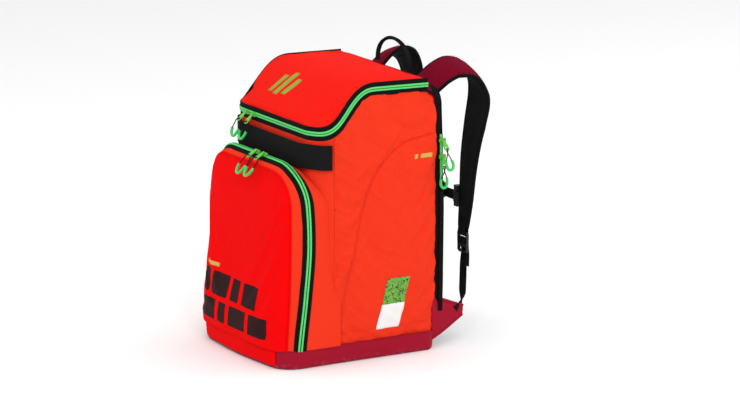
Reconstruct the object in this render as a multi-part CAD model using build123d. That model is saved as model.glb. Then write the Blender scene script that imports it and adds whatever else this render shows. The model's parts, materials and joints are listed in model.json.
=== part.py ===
from build123d import *
import math
import os

# Backpack-style ski boot bag. Millimetres, +Z up, front of the bag towards -Y,
# the wearer's side towards +Y. The origin is the middle of the base, on the floor.

# ---------------------------------------------------------------- driving sizes
WALL = 3.0                  # padded fabric wall
BASE_HALF = 152.0           # half width of the body at the floor
MIDDLE_HALF = 165.0         # half width at mid height
TOP_HALF = 157.0            # half width at the lid seam
FRONT_Y = -102.0            # front wall of the main compartment
BACK_Y = 150.0              # rear wall of the main compartment
CROWN_Z = 525.0             # top of the domed lid on the centre plane
LID_SIDE_Z = 505.0          # lid seam at the sides
LID_FRONT_Z = 428.0         # lid seam across the front
LID_HINGE_Y = 131.0         # fabric hinge across the top
BASE_TOP_Z = 34.0           # upper edge of the coated base
POCKET_HALF = 160.0         # half width of the front pocket
ZIP_BAND = 12.0             # half of a zip: tape and half of the coil
ZIP_GAP = 0.2               # half of the line between the two zip halves
SOFT_GAP = 0.4              # clearance between pieces that move apart
FAR = 700.0                 # beyond the bag on every side


# ---------------------------------------------------------------- small tools
def loop_face(*edges):
    """Closed face from edges drawn in order in the XY plane."""
    return make_face(Curve() + list(edges))


def rounded(points, radii):
    """Polygon whose corners have the given radii; 0 leaves a corner sharp."""
    path = FilletPolyline(*points, radius=[max(r, 0.01) for r in radii], close=True)
    return make_face(path)


def across_x(face, half, centre=0.0):
    """Solid whose YZ section is the face (drawn as x=Y, y=Z), centred on X."""
    return Pos(centre, 0, 0) * extrude(Plane.YZ * face, amount=half, both=True)


def along_y(face, low, high):
    """Solid whose XZ section is the face, from Y low to Y high."""
    plane = Plane(origin=(0, low, 0), x_dir=(1, 0, 0), z_dir=(0, -1, 0))
    return extrude(plane * face, amount=-(high - low))


def block(low, high):
    """Box between two corners."""
    size = [b - a for a, b in zip(low, high)]
    centre = [(a + b) / 2 for a, b in zip(low, high)]
    return Pos(*centre) * Box(*size)


def mirrored(shape):
    """The same shape on the other side of the bag."""
    return mirror(shape, about=Plane.YZ)


def above(z):
    """Everything higher than z."""
    return block((-FAR, -FAR, z), (FAR, FAR, FAR))


def behind(y):
    """Everything further back than y."""
    return block((-FAR, y, -FAR), (FAR, FAR, FAR))


# ---------------------------------------------------------------- body envelope
def body_side_view(inset):
    outline = rounded(
        [
            (FRONT_Y, 0), (FRONT_Y - 1, 444), (-12, CROWN_Z + 2),
            (108, CROWN_Z - 5), (BACK_Y, 500), (BACK_Y, 0),
        ],
        [6, 10, 95, 60, 8, 6],
    )
    return across_x(offset(outline, -inset) if inset else outline, 300)


def body_front_view(inset):
    side = ThreePointArc((BASE_HALF, 0), (MIDDLE_HALF, 255), (TOP_HALF, LID_SIDE_Z))
    crown = ThreePointArc((TOP_HALF, LID_SIDE_Z), (0, CROWN_Z), (-TOP_HALF, LID_SIDE_Z))
    other = ThreePointArc((-TOP_HALF, LID_SIDE_Z), (-MIDDLE_HALF, 255), (-BASE_HALF, 0))
    floor = Line((-BASE_HALF, 0), (BASE_HALF, 0))
    outline = loop_face(side, crown, other, floor)
    return along_y(offset(outline, -inset, kind=Kind.INTERSECTION) if inset else outline, -400, 400)


def body_plan(inset):
    half = MIDDLE_HALF + 2
    outline = rounded(
        [(-half, FRONT_Y - 1), (half, FRONT_Y - 1), (half, BACK_Y), (-half, BACK_Y)],
        [52, 52, 16, 16],
    )
    return extrude(offset(outline, -inset) if inset else outline, amount=700)


def body(inset=0.0):
    """Outer shape of the main compartment, or its inside at the given inset."""
    return body_side_view(inset) & body_front_view(inset) & body_plan(inset)


# ---------------------------------------------------------------- pocket envelope
def pocket_side_view(inset):
    outline = rounded(
        [(-50, 0), (-177, 0), (-187, 110), (-170, 300), (-155, 362), (-134, 372), (-100, 352), (-50, 352)],
        [0, 8, 200, 150, 20, 9, 10, 0],
    )
    return across_x(offset(outline, -inset) if inset else outline, 300)


def pocket_front_view(inset):
    half = POCKET_HALF + 2
    outline = rounded(
        [(-half + 4, 0), (half - 4, 0), (half - 2, 375), (-half + 2, 375)],
        [0, 0, 72, 72],
    )
    return along_y(offset(outline, -inset) if inset else outline, -400, 400)


def pocket_outline(half, front_y, crown):
    """Plan of the pocket: round front corners joined by a gently crowned front."""
    left = Line((-half, -50), (-half, front_y + 47))
    left_corner = ThreePointArc((-half, front_y + 47), (-half + 12, front_y + 18), (-half + 42, front_y))
    front = ThreePointArc((-half + 42, front_y), (0, front_y - crown), (half - 42, front_y))
    right_corner = ThreePointArc((half - 42, front_y), (half - 12, front_y + 18), (half, front_y + 47))
    right = Line((half, front_y + 47), (half, -50))
    back = Line((half, -50), (-half, -50))
    return loop_face(left, left_corner, front, right_corner, right, back)


def pocket_plan(inset):
    outline = pocket_outline(POCKET_HALF, -173, 15)
    return extrude(offset(outline, -inset) if inset else outline, amount=500)


def pocket(inset=0.0):
    """Outer shape of the front pocket, or its inside at the given inset."""
    return pocket_side_view(inset) & pocket_front_view(inset) & pocket_plan(inset)


# ---------------------------------------------------------------- seam surfaces
def over_lid_zip(shift):
    """Everything above the lid zip, moved square to the seam by shift."""
    dy = -0.6 * shift
    dz = 0.8 * shift
    low = LID_FRONT_Z + dz
    high = LID_SIDE_Z - 3 + dz
    front = Line((-400, low), (-90 + dy, low))
    rise = Bezier((-90 + dy, low), (-48 + dy, low), (-33 + dy, high), (14 + dy, high))
    top = Line((14 + dy, high), (400, high - 8))
    close = Polyline((400, high - 8), (400, FAR), (-400, FAR), (-400, low))
    return across_x(loop_face(front, rise, top, close), 300)


def ahead_of_door_zip(shift):
    """Everything in front of the pocket zip, moved forward by shift."""
    points = [(-139, -10), (-137, 40), (-125, 134), (-117, 225), (-121, 315), (-135, 376), (-144, 420)]
    moved = [(y - shift, z) for y, z in points]
    seam = Spline(*moved)
    close = Polyline(moved[-1], (-400, 420), (-400, -10), moved[0])
    return across_x(loop_face(seam, close), 300)


def behind_side_seam():
    """Rear part of a side panel: everything inside the curved side seam."""
    seam = Spline((160, 409), (74, 395), (12, 335), (-21, 225), (-46, 115), (-56, 20))
    close = Polyline((-56, 20), (-56, -20), (300, -20), (300, 409), (160, 409))
    return across_x(loop_face(seam, close), 300)


# ---------------------------------------------------------------- shells
BODY_OUT = body()
BODY_IN = body(WALL)
POCKET_OUT = pocket()
POCKET_IN = pocket(WALL)
BODY_SHELL = BODY_OUT - BODY_IN
POCKET_SHELL = POCKET_OUT - POCKET_IN - BODY_OUT
BASE_ZONE = block((-FAR, -FAR, -1), (FAR, FAR, BASE_TOP_Z))
LID_ZONE = over_lid_zip(ZIP_GAP) - behind(LID_HINGE_Y - SOFT_GAP)
FRONT_SEAM_Y = -50.0
BACK_SEAM_Y = 134.0

parts = {}


def build_base():
    """Coated base tub under the body and the pocket, and the board inside it."""
    half = BASE_HALF + 2
    rear = rounded([(-half, -60), (half, -60), (half, BACK_Y), (-half, BACK_Y)], [0, 0, 15, 15])
    outline = rear + pocket_outline(POCKET_HALF - 2, -168, 12)
    hollow = Pos(0, 0, WALL) * extrude(offset(outline, -WALL), amount=BASE_TOP_Z)
    parts["base_tub"] = extrude(outline, amount=BASE_TOP_Z) - hollow
    board = offset(rear, -WALL - 12)
    parts["base_board"] = Pos(0, 0, WALL) * extrude(board, amount=3)


def build_body_panels():
    """Front, side and rear walls of the main compartment, and the yoke."""
    lower_zip = BODY_SHELL & over_lid_zip(-ZIP_BAND)
    lower_zip = lower_zip - over_lid_zip(-ZIP_GAP) - behind(LID_HINGE_Y + SOFT_GAP)
    parts["lid_zip_lower"] = lower_zip
    walls = BODY_SHELL - BASE_ZONE - over_lid_zip(-ZIP_BAND)
    divider = BODY_SHELL & block((-145, -FAR, WALL), (145, FRONT_Y + WALL, BASE_TOP_Z))
    parts["front_panel"] = (walls - behind(FRONT_SEAM_Y)) + divider
    sides = (walls & behind(FRONT_SEAM_Y)) - behind(BACK_SEAM_Y)
    right = sides & block((0, -FAR, -FAR), (FAR, FAR, FAR))
    parts["side_front_panel_right"] = right - behind_side_seam()
    parts["side_rear_panel_right"] = right & behind_side_seam()
    parts["side_front_panel_left"] = mirrored(parts["side_front_panel_right"])
    parts["side_rear_panel_left"] = mirrored(parts["side_rear_panel_right"])
    parts["back_panel"] = walls & behind(BACK_SEAM_Y)
    yoke_zone = over_lid_zip(-ZIP_BAND) & behind(LID_HINGE_Y + SOFT_GAP)
    parts["yoke"] = BODY_SHELL & yoke_zone


def build_lid():
    """Domed lid and the zip half sewn to its edge."""
    lid = BODY_SHELL & LID_ZONE
    parts["lid_panel"] = lid & over_lid_zip(ZIP_BAND)
    parts["lid_zip_upper"] = lid - over_lid_zip(ZIP_BAND)


def build_pocket():
    """Pocket gusset on the body, hinged door, and the zip half on each."""
    walls = POCKET_SHELL - BASE_ZONE
    door_zone = ahead_of_door_zip(ZIP_GAP) & above(BASE_TOP_Z + SOFT_GAP)
    rear = walls - ahead_of_door_zip(-ZIP_GAP)
    parts["pocket_zip_rear"] = rear & ahead_of_door_zip(-ZIP_BAND)
    parts["pocket_gusset"] = rear - ahead_of_door_zip(-ZIP_BAND)
    front = POCKET_SHELL & door_zone
    parts["door_panel"] = front & ahead_of_door_zip(ZIP_BAND)
    parts["door_zip_front"] = front - ahead_of_door_zip(ZIP_BAND)


# ---------------------------------------------------------------- back of the bag
PAD_HALF = 155.0
PAD_DEPTH = 16.0
PAD_BACK = BACK_Y + PAD_DEPTH


def build_back():
    """Padded back with spine channel, and the stiffener sheet inside the wall."""
    outline = rounded(
        [(-PAD_HALF + 6, 42), (PAD_HALF - 6, 42), (PAD_HALF, 260), (PAD_HALF - 8, 486),
         (-PAD_HALF + 8, 486), (-PAD_HALF, 260)],
        [26, 26, 400, 30, 30, 400],
    )
    pad = along_y(outline, BACK_Y, PAD_BACK)
    channel = rounded([(-16, 60), (16, 60), (16, 440), (-16, 440)], [14, 14, 14, 14])
    parts["back_pad"] = pad - along_y(channel, PAD_BACK - 8, PAD_BACK + 5)
    sheet = rounded([(-125, 50), (125, 50), (125, 470), (-125, 470)], [20, 20, 20, 20])
    parts["frame_sheet"] = along_y(sheet, BACK_Y - WALL - 2, BACK_Y - WALL)


# ---------------------------------------------------------------- grab band and handle
BAND_WIDTH = 46.0           # webbing of the front grab band
BAND_STAND = 8.0            # finger gap behind the band
BAND_THICK = 2.5
BAND_Z = 363.0              # lower edge of the band
BAND_HALF = 166.5
BAND_END_Y = -74.0
HANDLE_HALF = 60.0
HANDLE_Y = 150.0
HANDLE_FOOT_Z = 507.0
HANDLE_Z = 558.0
HANDLE_THICK = 4.0          # rolled webbing, in the plane of the loop
HANDLE_DEPTH = 8.0          # rolled webbing, front to back


def build_grab_band():
    """Wide webbing across the front, its ends sewn down round the corners."""
    front = FRONT_Y - 1 - BAND_STAND - BAND_THICK
    outer = rounded(
        [(-BAND_HALF, 0), (-BAND_HALF, -88), (-112, front), (112, front), (BAND_HALF, -88), (BAND_HALF, 0)],
        [0, 30, 60, 60, 30, 0],
    )
    ring = extrude(outer - offset(outer, -BAND_THICK), amount=500)
    slab = ring & block((-FAR, -FAR, BAND_Z), (FAR, BAND_END_Y, BAND_Z + BAND_WIDTH))
    parts["grab_band"] = slab - BODY_OUT


def build_carry_handle():
    """Webbing loop over the top of the back; stands upright."""
    foot = HANDLE_FOOT_Z
    reach = HANDLE_HALF - HANDLE_THICK
    outer = ThreePointArc((-HANDLE_HALF, foot), (0, HANDLE_Z), (HANDLE_HALF, foot))
    inner = ThreePointArc((reach, foot), (0, HANDLE_Z - HANDLE_THICK), (-reach, foot))
    right = Line((HANDLE_HALF, foot), (reach, foot))
    left = Line((-reach, foot), (-HANDLE_HALF, foot))
    half = HANDLE_DEPTH / 2
    parts["carry_handle"] = along_y(loop_face(outer, right, inner, left), HANDLE_Y - half, HANDLE_Y + half)


# ---------------------------------------------------------------- shoulder straps
STRAP_THICK = 13.0          # padded shoulder strap
STRAP_TOP = [(166, 496), (195, 515), (223, 523), (254, 514), (272, 487), (275, 455)]
STRAP_FALL = [(266, 405), (255, 340), (248, 262), (241, 208)]
LEFT_SAG = 0.25             # the left strap's top stands this share nearer the bag
SAG_FOOT = 262.0            # height where the two straps come together again
SAG_TOP = 450.0             # height from which the whole share counts
WEB_THICK = 2.0


def strip_solid(path, thick, half, centre):
    """Strip of even thickness that follows a path in the YZ plane."""
    line = Spline(*path)
    count = 14
    left = []
    right = []
    for i in range(count + 1):
        point = line @ (i / count)
        way = line % (i / count)
        normal = Vector(-way.Y, way.X)
        left.append(point + normal * (thick / 2))
        right.append(point - normal * (thick / 2))
    start = Line(right[0], left[0])
    end = Line(left[-1], right[-1])
    return across_x(loop_face(start, Spline(*left), end, Spline(*reversed(right))), half, centre)


def strap_front_view():
    """Front view of the right strap: wide over the shoulder, narrow at the buckle."""
    inner = Spline((62, 600), (62, 480), (66, 400), (74, 300), (84, 200))
    outer = Spline((116, 200), (122, 300), (132, 400), (132, 480), (126, 600))
    return loop_face(inner, Line((84, 200), (116, 200)), outer, Line((126, 600), (62, 600)))


def shoulder_strap(sag):
    """Padded strap from the top of the back over to the ladder lock."""
    root = STRAP_TOP[0][0]
    path = []
    for y, z in STRAP_TOP + STRAP_FALL:
        share = min(max((z - SAG_FOOT) / (SAG_TOP - SAG_FOOT), 0), 1)
        path.append((root + (1 - sag * share) * (y - root), z))
    strap = strip_solid(path, STRAP_THICK, 60, 100)
    strap = strap & along_y(strap_front_view(), 150, 400)
    return strap - block((0, 0, 0), (FAR, PAD_BACK, FAR))


def build_shoulder_straps():
    parts["shoulder_strap_right"] = shoulder_strap(0)
    parts["shoulder_strap_left"] = mirrored(shoulder_strap(LEFT_SAG))


# ---------------------------------------------------------------- ladder locks and lower webbing
LOCK_PIVOT = (240.0, 198.0)  # upper bar of the ladder lock, (Y, Z)
LOCK_X = 101.0
LOCK_HALF = 17.0
LOCK_LENGTH = 36.0


def ladder_lock():
    """Plastic frame with three slots, upright, its upper bar at the origin."""
    outline = rounded(
        [(-LOCK_HALF, 3), (LOCK_HALF, 3), (LOCK_HALF - 1, -LOCK_LENGTH), (-LOCK_HALF + 1, -LOCK_LENGTH)],
        [4, 4, 6, 6],
    )
    plate = along_y(outline, -2.5, 2.5)
    slot_half = LOCK_HALF - 4
    for top in (-3, -14, -25):
        plate = plate - block((-slot_half, -5, top - 6.5), (slot_half, 5, top))
    return plate


def build_lower_straps():
    """Ladder locks and the webbing that runs from them down to the wings."""
    y, z = LOCK_PIVOT
    lock = Pos(LOCK_X, y, z) * ladder_lock()
    parts["ladder_lock_right"] = lock
    parts["ladder_lock_left"] = mirrored(lock)
    web = strip_solid([(240, 152), (236, 128), (224, 100), (207, 74)], WEB_THICK, 40, 120)
    lean = loop_face(Polyline((89, 153), (113, 153), (153, 66), (129, 66), (89, 153)))
    web = web & along_y(lean, 150, 320)
    parts["lower_web_right"] = web
    parts["lower_web_left"] = mirrored(web)


def build_wings():
    """Three-cornered coated wings from the lower rear corners to the webbing."""
    outline = rounded([(138, 22), (150, 18), (212, 60), (207, 74), (138, 104)], [0, 8, 3, 3, 0])
    wing = across_x(outline, 1.5, 150)
    wing = wing - BODY_OUT - block((-FAR, 100, 0), (FAR, BACK_Y, FAR)) - parts["back_pad"]
    parts["wing_right"] = wing
    parts["wing_left"] = mirrored(wing)


# ---------------------------------------------------------------- sternum strap
STERNUM_Z = 262.0
STERNUM_Y = 248.0
CLIP_GAP = 1.4              # play of the clip on the edge of the shoulder strap


def sternum_clip():
    """Plastic clip that grips the inner edge of the right strap."""
    grip = STRAP_THICK / 2 + CLIP_GAP
    clip = block((62, -5, -20), (74, 5, 20)) + block((68, -grip - 2, -10), (86, grip + 2, 10))
    clip = clip - block((74, -grip, -30), (90, grip, 30))
    return clip - block((60, -1.6, -11), (70, 1.6, 11))


def build_sternum_strap():
    """Chest strap between the shoulder straps, with a side-release buckle."""
    place = Pos(0, STERNUM_Y, STERNUM_Z)
    parts["sternum_clip_right"] = place * sternum_clip()
    parts["sternum_clip_left"] = mirrored(parts["sternum_clip_right"])
    parts["sternum_web_right"] = place * block((12, -1, -10), (69, 1, 10))
    parts["sternum_web_left"] = place * block((-69, -1, -10), (-25, 1, 10))
    parts["buckle_socket"] = place * buckle_socket()
    parts["buckle_plug"] = place * buckle_plug()


def buckle_socket():
    """Hollow half of the buckle, open towards +X and at both sides."""
    outline = rounded([(-27, -14), (2, -17), (2, 17), (-27, 14)], [5, 2, 2, 5])
    shell = along_y(outline, -5, 5)
    shell = shell - block((-19, -3, -14), (5, 3, 14))
    for side in (-1, 1):
        low, high = sorted((side * 10, side * 22))
        shell = shell - block((-15, -3, low), (-5, 3, high))
    return shell - block((-40, -1.4, -10.6), (-22, 1.4, 10.6))


def buckle_plug():
    """Pronged half of the buckle: a slotted head and two arms, drawn pressed in."""
    head = along_y(rounded([(3, -16), (17, -14.5), (17, 14.5), (3, 16)], [2, 4, 4, 2]), -5, 5)
    head = head - block((0, -1.4, -10.6), (20, 1.4, 10.6))
    for side in (-1, 1):
        arm = rounded(
            [
                (4, side * 10.8), (-14, side * 10.8), (-12, side * 13.7),
                (-6, side * 13.7), (-6, side * 12.7), (4, side * 12.7),
            ],
            [0, 1, 0.8, 0.5, 0.3, 0],
        )
        head = head + along_y(arm, -2.5, 2.5)
    return head


# ---------------------------------------------------------------- side zip and label
SIDE_ZIP_Y = 161.0
SIDE_ZIP_TOP = 404.0
SIDE_ZIP_FOOT = 70.0
SIDE_ZIP_HALF = 5.5


def build_side_zip():
    """Zip of the right-hand sleeve, let into the side of the back pad."""
    low = (100, SIDE_ZIP_Y - SIDE_ZIP_HALF, SIDE_ZIP_FOOT)
    high = (FAR, SIDE_ZIP_Y + SIDE_ZIP_HALF, SIDE_ZIP_TOP)
    zone = block(low, high)
    core = Pos(-2, 0, 0) * parts["back_pad"]
    parts["side_zip"] = (parts["back_pad"] & zone) - core
    parts["back_pad"] = parts["back_pad"] - parts["side_zip"]


def build_side_label():
    """Woven patch sewn low on the right side."""
    outline = loop_face(Polyline((40, 150), (86, 150), (66, 57), (18, 57), (40, 150)))
    skin = body(-0.8) - BODY_OUT
    parts["side_label"] = skin & across_x(outline, 100, 200)


# ---------------------------------------------------------------- zip sliders and pulls
CORD_DIAMETER = 2.0
GRIP_DIAMETER = 5.2
PIN_OUT = 6.4               # pull pin, outwards from the zip face
TAB_LENGTH = 17.0           # pin to eye
TAB_THICK = 1.4
EYE_RADIUS = 3.0
EYE_TURN = 5.0              # how far the cord stands off before it turns down
LOOP_HALF = 8.0             # half width of the cord loop


def slider():
    """Slider lying on a zip that runs along X; outwards is -Y, zip face at y=0."""
    plate = along_y(rounded([(-7, -3), (-2, -4.5), (7, -4.5), (7, 4.5), (-2, 4.5), (-7, 3)],
                            [1, 2, 2, 2, 2, 1]), -4.0, -1.5)
    for side in (-1, 1):
        plate = plate + block((side * 3.6 - 0.7, -PIN_OUT - 0.9, -1.3), (side * 3.6 + 0.7, -3.5, 1.3))
    pin = Pos(0, -PIN_OUT, 0) * Rot(0, 90, 0) * Cylinder(0.8, 7.4)
    return plate + pin


def tab():
    """Pull tab hanging from its pin at the origin, with an eye at its foot."""
    barrel = Rot(0, 90, 0) * Cylinder(1.9, 5.2)
    outline = rounded([(-2.4, 0), (2.4, 0), (5, -10), (5, -22), (-5, -22), (-5, -10)], [0, 0, 4, 4, 4, 4])
    plate = along_y(outline, -TAB_THICK / 2, TAB_THICK / 2) + barrel
    eye = Pos(0, 0, -TAB_LENGTH) * Rot(90, 0, 0) * Cylinder(EYE_RADIUS, 10)
    return plate - eye - Rot(0, 90, 0) * Cylinder(1.1, 10)


def cord_route(drop, skew):
    """Cord from the middle of the eye round the grip and back; skew swings the loop in X."""
    half = LOOP_HALF
    out = EYE_TURN
    return [
        (0, 0, 0),
        (-0.6, -out, 0.3),
        (-3 + 0.3 * skew, -out + 0.4, -0.28 * drop),
        (-half + 0.6 * skew, -2.4, -0.56 * drop),
        (-half + skew, -0.8, -0.80 * drop),
        (-half / 2 + skew, 0, -drop),
        (half / 2 + skew, 0.2, -drop + 0.5),
        (half + skew, 1.0, -0.78 * drop),
        (half - 1 + 0.6 * skew, 2.6, -0.54 * drop),
        (3 + 0.3 * skew, out - 0.4, -0.26 * drop),
        (0.6, out, 0.3),
        (0, 0, 0.01),
    ]


def corner_radii(route):
    """0.45 of the shorter run over the tangent of half the turn, corner by corner."""
    points = [Vector(*p) for p in route]
    radii = []
    for a, b, c in zip(points, points[1:], points[2:]):
        turn = math.radians((b - a).get_angle(c - b))
        radii.append(0.45 * min((b - a).length, (c - b).length) / math.tan(turn / 2))
    return radii


def tube(route, diameter, name):
    """Round tube of straight runs and tangent arcs; prints its length and radii."""
    radii = corner_radii(route)
    path = FilletPolyline(*route, radius=radii)
    start = Plane(origin=path @ 0, z_dir=path % 0)
    solid = sweep(start * Circle(diameter / 2), path=path)
    whole = math.pi * diameter ** 2 / 4 * path.length
    print(name, "length", round(path.length, 1), "volume ratio", round(solid.volume / whole, 4),
          "radii", [round(r, 1) for r in radii])
    return solid


def build_pull(name, face, turn, zip_lean, tab_lean, cord_lean, drop, skew):
    """Slider, tab, cord and grip. face is a point on the zip; turn is about Z from the front;
    leans are degrees outwards from hanging straight down."""
    side = Rot(0, 0, turn)
    place = Pos(*face) * side * Rot(-zip_lean, 0, 0)
    pin = (place * Pos(0, -PIN_OUT, 0)).position
    at_pin = Pos(pin) * side * Rot(-tab_lean, 0, 0)
    eye = (at_pin * Pos(0, 0, -TAB_LENGTH)).position
    at_eye = Pos(eye) * side * Rot(-cord_lean, 0, 0)
    route = cord_route(drop, skew)
    parts["slider_" + name] = place * slider()
    parts["tab_" + name] = at_pin * tab()
    parts["cord_" + name] = at_eye * tube(route, CORD_DIAMETER, "cord_" + name)
    parts["grip_" + name] = at_eye * tube(route[3:9], GRIP_DIAMETER, "grip_" + name)
    print(name, "pin", [round(v, 2) for v in pin], "eye", [round(v, 2) for v in eye])


LID_ZIP_FACE_Y = FRONT_Y - 1.0
DOOR_ZIP_FACE = (-137.0, 372.0)
SIDE_ZIP_FACE_X = 155.0


def build_pulls():
    """Two pulls on the lid zip, two on the door zip and two on the side zip."""
    for name, x, tab_lean, skew in (("lid_left", -94, 48, -5), ("lid_right", -68, 44, -3)):
        build_pull(name, (x, LID_ZIP_FACE_Y, LID_FRONT_Z), 0, 0, tab_lean, 20, 34, skew)
    for name, x, tab_lean, skew in (("door_left", 2, 60, -4), ("door_right", 30, 62, -2)):
        build_pull(name, (x, *DOOR_ZIP_FACE), 0, 68, tab_lean, 36, 38, skew)
    side_pulls = (("side_upper", 392, 44, 14, 3), ("side_lower", 362, 14, 3, -2))
    for name, z, tab_lean, cord_lean, skew in side_pulls:
        build_pull(name, (SIDE_ZIP_FACE_X, SIDE_ZIP_Y, z), 90, 0, tab_lean, cord_lean, 40, skew)


# ---------------------------------------------------------------- write
build_base()
build_body_panels()
build_lid()
build_pocket()
build_back()
build_grab_band()
build_carry_handle()
build_shoulder_straps()
build_lower_straps()
build_wings()
build_sternum_strap()
build_side_zip()
build_side_label()
build_pulls()

os.makedirs("parts", exist_ok=True)
for name, shape in parts.items():
    solids = shape.solids()
    export_step(solids[0] if len(solids) == 1 else Compound(solids), "parts/" + name + ".step")
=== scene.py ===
import json
import math

import bmesh
import bpy
import numpy as np
from mathutils import Euler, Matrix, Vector, noise
from mathutils.bvhtree import BVHTree

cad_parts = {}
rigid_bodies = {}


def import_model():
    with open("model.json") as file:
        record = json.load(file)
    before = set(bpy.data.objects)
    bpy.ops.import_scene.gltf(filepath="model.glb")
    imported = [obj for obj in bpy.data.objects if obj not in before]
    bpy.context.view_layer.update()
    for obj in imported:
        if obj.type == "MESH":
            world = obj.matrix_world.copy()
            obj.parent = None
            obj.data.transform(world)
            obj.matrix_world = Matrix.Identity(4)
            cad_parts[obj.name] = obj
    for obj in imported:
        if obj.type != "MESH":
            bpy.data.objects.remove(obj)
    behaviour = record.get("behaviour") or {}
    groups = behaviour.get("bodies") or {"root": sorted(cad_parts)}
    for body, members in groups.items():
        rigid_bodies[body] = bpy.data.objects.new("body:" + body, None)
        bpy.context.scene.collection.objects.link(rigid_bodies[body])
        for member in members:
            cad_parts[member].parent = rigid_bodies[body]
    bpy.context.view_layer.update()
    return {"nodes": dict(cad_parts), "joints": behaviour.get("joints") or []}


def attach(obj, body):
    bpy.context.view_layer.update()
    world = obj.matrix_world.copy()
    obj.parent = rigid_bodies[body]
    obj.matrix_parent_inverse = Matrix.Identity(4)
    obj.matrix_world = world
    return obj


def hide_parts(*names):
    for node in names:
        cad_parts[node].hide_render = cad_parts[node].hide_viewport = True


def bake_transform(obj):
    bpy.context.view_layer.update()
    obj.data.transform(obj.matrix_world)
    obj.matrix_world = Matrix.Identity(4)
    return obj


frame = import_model()

MM = 0.001
CLOTH_THICK = 2.4
BAG_MIDDLE = (0, 0, 240)
SIM_FRAMES = 18


# ================================================================ camera
def make_camera():
    """Long lens from the right front, a little above the bag."""
    data = bpy.data.cameras.new("camera")
    data.lens = 218.9
    data.sensor_width = 36.0
    data.clip_end = 60.0
    camera = bpy.data.objects.new("camera", data)
    bpy.context.scene.collection.objects.link(camera)
    camera.rotation_euler = Euler((math.radians(77), 0, math.radians(60)))
    camera.location = (7.0161, -3.9507, 2.1146)
    bpy.context.scene.camera = camera


make_camera()


# ================================================================ mesh tools
def link(name, mesh):
    """Object for a mesh, put in the scene."""
    thing = bpy.data.objects.new(name, mesh)
    bpy.context.scene.collection.objects.link(thing)
    return thing


def smooth_curve(points, count):
    """Catmull-Rom curve through the points, sampled evenly by length."""
    p = np.array(points, float)
    p = np.vstack([2 * p[0] - p[1], p, 2 * p[-1] - p[-2]])
    out = []
    for i in range(1, len(p) - 2):
        for t in np.linspace(0, 1, 40, endpoint=False):
            a, b, c, d = p[i - 1], p[i], p[i + 1], p[i + 2]
            out.append(0.5 * (2 * b + (c - a) * t + (2 * a - 5 * b + 4 * c - d) * t ** 2
                              + (3 * b - a - 3 * c + d) * t ** 3))
    out.append(p[-2])
    return even(np.array(out), count)


def even(points, count):
    """The same open path at evenly spaced points."""
    step = np.linalg.norm(np.diff(points, axis=0), axis=1)
    length = np.concatenate([[0], np.cumsum(step)])
    at = np.linspace(0, length[-1], count)
    return np.stack([np.interp(at, length, points[:, k]) for k in range(points.shape[1])], axis=1)


def even_along(values, path, count):
    """Values given at a path's points, read at evenly spaced places along it."""
    step = np.linalg.norm(np.diff(path, axis=0), axis=1)
    length = np.concatenate([[0], np.cumsum(step)])
    at = np.linspace(0, length[-1], count)
    out = np.stack([np.interp(at, length, values[:, k]) for k in range(3)], axis=1)
    return out / np.maximum(np.linalg.norm(out, axis=1, keepdims=True), 1e-9)


def rounded_path(points, radii, arc_step=4.0, close=False):
    """Path of straight runs and tangent arcs, in the plane; ends stay sharp unless closed."""
    p = [np.array(q, float) for q in points]
    out = []
    count = len(p)
    for i in range(count):
        if not close and i in (0, count - 1):
            out.append(p[i])
            continue
        a, b, c = p[i - 1], p[i], p[(i + 1) % count]
        u = (a - b) / np.linalg.norm(a - b)
        v = (c - b) / np.linalg.norm(c - b)
        half = math.acos(np.clip(u @ v, -1, 1)) / 2
        reach = radii[i] / math.tan(half)
        centre = b + (u + v) / np.linalg.norm(u + v) * radii[i] / math.sin(half)
        start = b + u * reach - centre
        sweep = math.pi - 2 * half
        turn = math.copysign(1, u[0] * v[1] - u[1] * v[0]) * -1
        steps = max(3, int(radii[i] * sweep / arc_step))
        for k in range(steps + 1):
            w = turn * sweep * k / steps
            out.append(centre + np.array([start[0] * math.cos(w) - start[1] * math.sin(w),
                                          start[0] * math.sin(w) + start[1] * math.cos(w)]))
    if close:
        out.append(out[0])
    return np.array(out)


def grid_normals(p):
    """Unit normal at each point of a grid."""
    du = np.gradient(p, axis=0)
    dv = np.gradient(p, axis=1)
    n = np.cross(du, dv)
    length = np.linalg.norm(n, axis=2, keepdims=True)
    return n / np.maximum(length, 1e-9)


def facing(p, centre):
    """Grid normals turned to point away from the centre."""
    n = grid_normals(p)
    away = p - np.array(centre, float)
    if np.sum(n * away) < 0:
        n = -n
    return n


def ripple(p, n, height, size, seed=0.0):
    """Moves the grid points along their normals by smooth noise; millimetres."""
    out = p.copy()
    flat = out.reshape(-1, 3)
    normal = n.reshape(-1, 3)
    for i, q in enumerate(p.reshape(-1, 3)):
        value = noise.noise(Vector((q[0] / size + seed, q[1] / size, q[2] / size)))
        flat[i] += normal[i] * value * height
    return flat.reshape(p.shape)


def positions(mesh):
    """Vertex positions of a mesh as an array."""
    flat = np.zeros(len(mesh.vertices) * 3)
    mesh.vertices.foreach_get("co", flat)
    return flat.reshape(-1, 3)


def add_cloth(thing, pins, pressure, slack, gravity):
    """Cloth modifier that holds the pinned points and lets pressure push out the rest."""
    group = thing.vertex_groups.new(name="seams")
    group.add([int(i) for i in pins], 1.0, "REPLACE")
    cloth = thing.modifiers.new("cloth", "CLOTH")
    settings = cloth.settings
    settings.quality = 5
    settings.mass = 0.2
    settings.air_damping = 5
    settings.tension_stiffness = 14
    settings.compression_stiffness = 14
    settings.shear_stiffness = 6
    settings.bending_stiffness = 0.4
    settings.vertex_group_mass = "seams"
    settings.use_pressure = True
    settings.uniform_pressure_force = pressure
    settings.shrink_min = -slack
    settings.effector_weights.gravity = gravity
    cloth.collision_settings.use_collision = False
    cloth.point_cache.frame_start = 1
    cloth.point_cache.frame_end = SIM_FRAMES
    return cloth


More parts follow.
